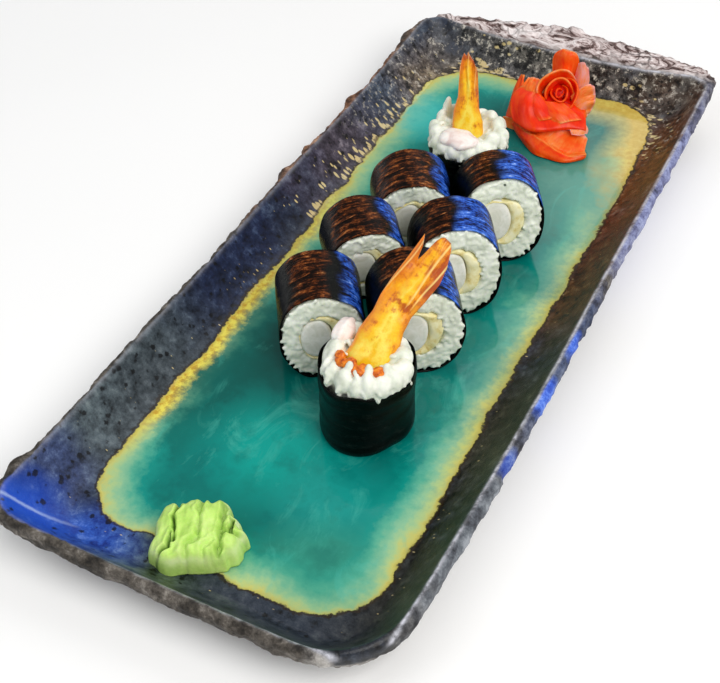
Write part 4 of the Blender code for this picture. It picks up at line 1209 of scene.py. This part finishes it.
# the wasabi's outline on the tray and its cracks, in mm from its middle
WASABI_OUTLINE = (
    (16.6, 6.5), (17.0, 2.5), (17.5, -1.5), (15.5, -5.5), (11.5, -8.0), (8.0, -10.5),
    (3.5, -12.5), (0.5, -14.5), (-3.0, -16.5), (-7.5, -16.5), (-11.5, -15.0), (-13.2, -11.5),
    (-13.0, -8.0), (-14.8, -5.0), (-16.5, -0.5), (-17.2, 3.5), (-15.8, 7.0), (-12.6, 7.6),
    (-11.0, 9.0), (-9.0, 11.8), (-4.8, 13.2), (-1.4, 13.0), (1.6, 15.6), (4.8, 14.2),
    (9.0, 12.2), (13.4, 9.6))
WASABI_CRACKS = (   # points of each crack, width and depth
    (((-13.5, 9.5), (-10.4, 5.0), (-9.9, 1.0), (-6.6, -3.0), (-4.2, -8.0)), 0.6, 3.4),
    (((-6.8, -5.4), (-4.6, -10.6), (-7.6, -16.5)), 0.6, 3.0),
    (((-4.2, 12.6), (-2.4, 7.0), (0.4, 2.0), (2.0, -1.6)), 0.8, 1.8),
    (((4.0, 14.0), (6.4, 8.0), (9.4, 1.6), (12.6, -5.8)), 0.8, 2.0),
    (((3.0, -3.4), (0.6, -7.6), (3.4, -13.0)), 0.9, 1.6),
    (((8.4, -2.0), (7.0, -6.6), (9.0, -9.8)), 0.8, 1.3),
    (((9.6, 9.6), (11.4, 5.6), (12.2, 3.4)), 0.5, 2.6),
    (((9.8, 2.8), (12.6, 3.0), (16.6, 5.2)), 0.5, 2.0),
    (((12.4, 8.2), (14.6, 6.4)), 0.5, 1.6),
)


def build_wasabi(materials):
    """A soft heap pressed from folds, its outline lobed and its top cracked."""
    low, high = (np.array(corner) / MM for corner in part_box("wasabi"))
    centre = (low + high) / 2
    heap, round_, up = ball("wasabi_folds", 240, 170)
    outline = np.array(WASABI_OUTLINE)
    where = np.unwrap(np.arctan2(outline[:, 1], outline[:, 0])[::-1])
    reach = np.hypot(outline[:, 0], outline[:, 1])[::-1]
    order = np.argsort(where % (2 * math.pi))
    rim = np.interp(round_ % (2 * math.pi), (where % (2 * math.pi))[order], reach[order],
                    period=2 * math.pi)
    edge = stack(np.cos(round_) * rim, np.sin(round_) * rim, 0 * rim)
    rim = rim + swells(edge, 2.6, 94) * mix(0.25, 0.9, ease(edge[:, 0] + edge[:, 1], 6, 14))
    rim = rim + 0.35 * swells(edge, 6, 93)
    inward = np.cos(np.clip(up, 0, None)) ** 0.7
    share = np.where(up > 0, inward, np.cos(up) ** 0.5)
    x, y = np.cos(round_) * rim * share, np.sin(round_) * rim * share
    dome = (1 - share ** 9) ** 0.5
    z = np.where(up > 0, dome * 10.4, -0.2)
    flat = stack(x, y, 0 * x)
    z += np.where(up > 0, (0.7 * swells(flat, 12, 95) + 0.35 * swells(flat, 4, 96)
                           + 0.15 * swells(flat, 1.6, 98)) * dome, 0)
    hollow = np.zeros(len(x))
    jog = 0.35 * swells(flat, 3, 97)
    for path, width, depth in WASABI_CRACKS:
        path = np.array(path)
        near = np.full(len(x), 99.0)
        for a, b in zip(path, path[1:]):
            t = np.clip(((x - a[0]) * (b[0] - a[0]) + (y - a[1]) * (b[1] - a[1]))
                        / ((b - a) @ (b - a)), 0, 1)
            near = np.minimum(near, np.hypot(x - mix(a[0], b[0], t), y - mix(a[1], b[1], t)))
        near = np.abs(near + jog)
        cut = np.exp(-(near / width) ** 2)
        swell = 0.4 * np.exp(-((near - 2.4 * width) / width) ** 2)
        z += np.where(up > 0, (swell - depth * cut) * dome, 0)
        # the painted shade of each crack, darker in deeper cracks
        hollow = np.maximum(hollow, cut * ease(np.full(len(x), depth), 1.0, 3.0))
    dry = np.exp(-((share - 0.93) / 0.05) ** 2) * (up > 0) * (0.6 + 0.4 * swells(flat, 5, 99))
    mark(heap, "dry", np.clip(0.8 * dry, 0, 1))
    spots = stack(x, y, np.maximum(z, -0.2))
    spots[:, :2] += centre[:2] - np.array([0.0, 0.5])
    spots[:, 2] += low[2] + 0.3
    set_points(heap, spots)
    mark(heap, "hollow", np.clip(hollow, 0, 1))
    dress(outward(heap), materials["wasabi"], "wasabi", "wasabi")


# ------------------------------------------------------------------ studio

def build_studio():
    floor = primitive(bpy.ops.mesh.primitive_plane_add, "floor", size=6)
    floor.location.z = -0.0004
    paper = new_material("white paper")
    noise = add(paper, "TexNoise", add(paper, "TexCoord").outputs["Object"], per(400), 2.0)
    shade = add(paper, "ValToRGB", noise, stops=[(0.3, "#FBFBFB"), (0.7, "#FFFFFF")])
    close(paper, shade, Roughness=0.9)
    floor.data.materials.append(paper)
    lamps = (   # place, size, power, colour, aims at the tray's middle
        ((0.75, -0.35, 0.95), 0.8, 11, (1.0, 0.98, 0.95)),
        ((-0.7, -0.6, 0.8), 0.9, 3.3, (0.92, 0.96, 1.0)),
        ((0.1, 0.9, 1.0), 0.9, 4, (1.0, 1.0, 1.0)),
    )
    for index, (spot, size, power, colour) in enumerate(lamps):
        data = bpy.data.lights.new(f"softbox_{index}", "AREA")
        data.shape, data.size, data.energy, data.color = "SQUARE", size, power, colour
        lamp = bpy.data.objects.new(f"softbox_{index}", data)
        lamp.location = spot
        lamp.rotation_euler = (-Vector(spot)).to_track_quat("-Z", "Y").to_euler()
        bpy.context.scene.collection.objects.link(lamp)
    world = bpy.data.worlds.new("studio")
    bpy.context.scene.world = world
    world.use_nodes = True
    background = world.node_tree.nodes["Background"]
    background.inputs["Color"].default_value = (1, 1, 1, 1)
    background.inputs["Strength"].default_value = 0.36
    lens = bpy.data.cameras.new("camera")
    lens.lens, lens.sensor_width, lens.clip_start = 60.32, 36, 0.01
    camera = bpy.data.objects.new("camera", lens)
    turn = [Matrix.Rotation(math.radians(a), 4, w) for a, w in
            ((28.63, "Z"), (45.70, "X"), (-2.29, "Z"))]
    camera.matrix_world = (Matrix.Translation((0.16698, -0.36220, 0.35734))
                           @ turn[0] @ turn[1] @ turn[2])
    bpy.context.scene.collection.objects.link(camera)
    bpy.context.scene.camera = camera
    bpy.context.scene.view_settings.view_transform = "Standard"


def main():
    materials = {
        "nori": nori_material(),
        "rice": rice_material("boiled rice", "#CED6C4", "#F1F6E8", 0.17),
        "bright rice": rice_material("boiled rice heaped", "#D3D9C8", "#F3F6EA", 0.0),
        "meat": meat_material(), "batter": batter_material(), "tail": tail_material(),
        "crumbs": crumb_material(), "cheese": cheese_material(),
        "ginger": ginger_material(), "wasabi": wasabi_material(),
    }
    build_studio()
    build_tray(glaze_material())
    grain = make_grain()
    for seed, name in enumerate(LYING_ROLLS):
        build_lying_roll(name, 100 + 10 * seed, materials, grain)
    for seed, name in enumerate(END_PIECES):
        build_end_piece(name, 200 + 10 * seed, materials, grain)
    bpy.data.objects.remove(grain)
    build_ginger(materials)
    build_wasabi(materials)


main()
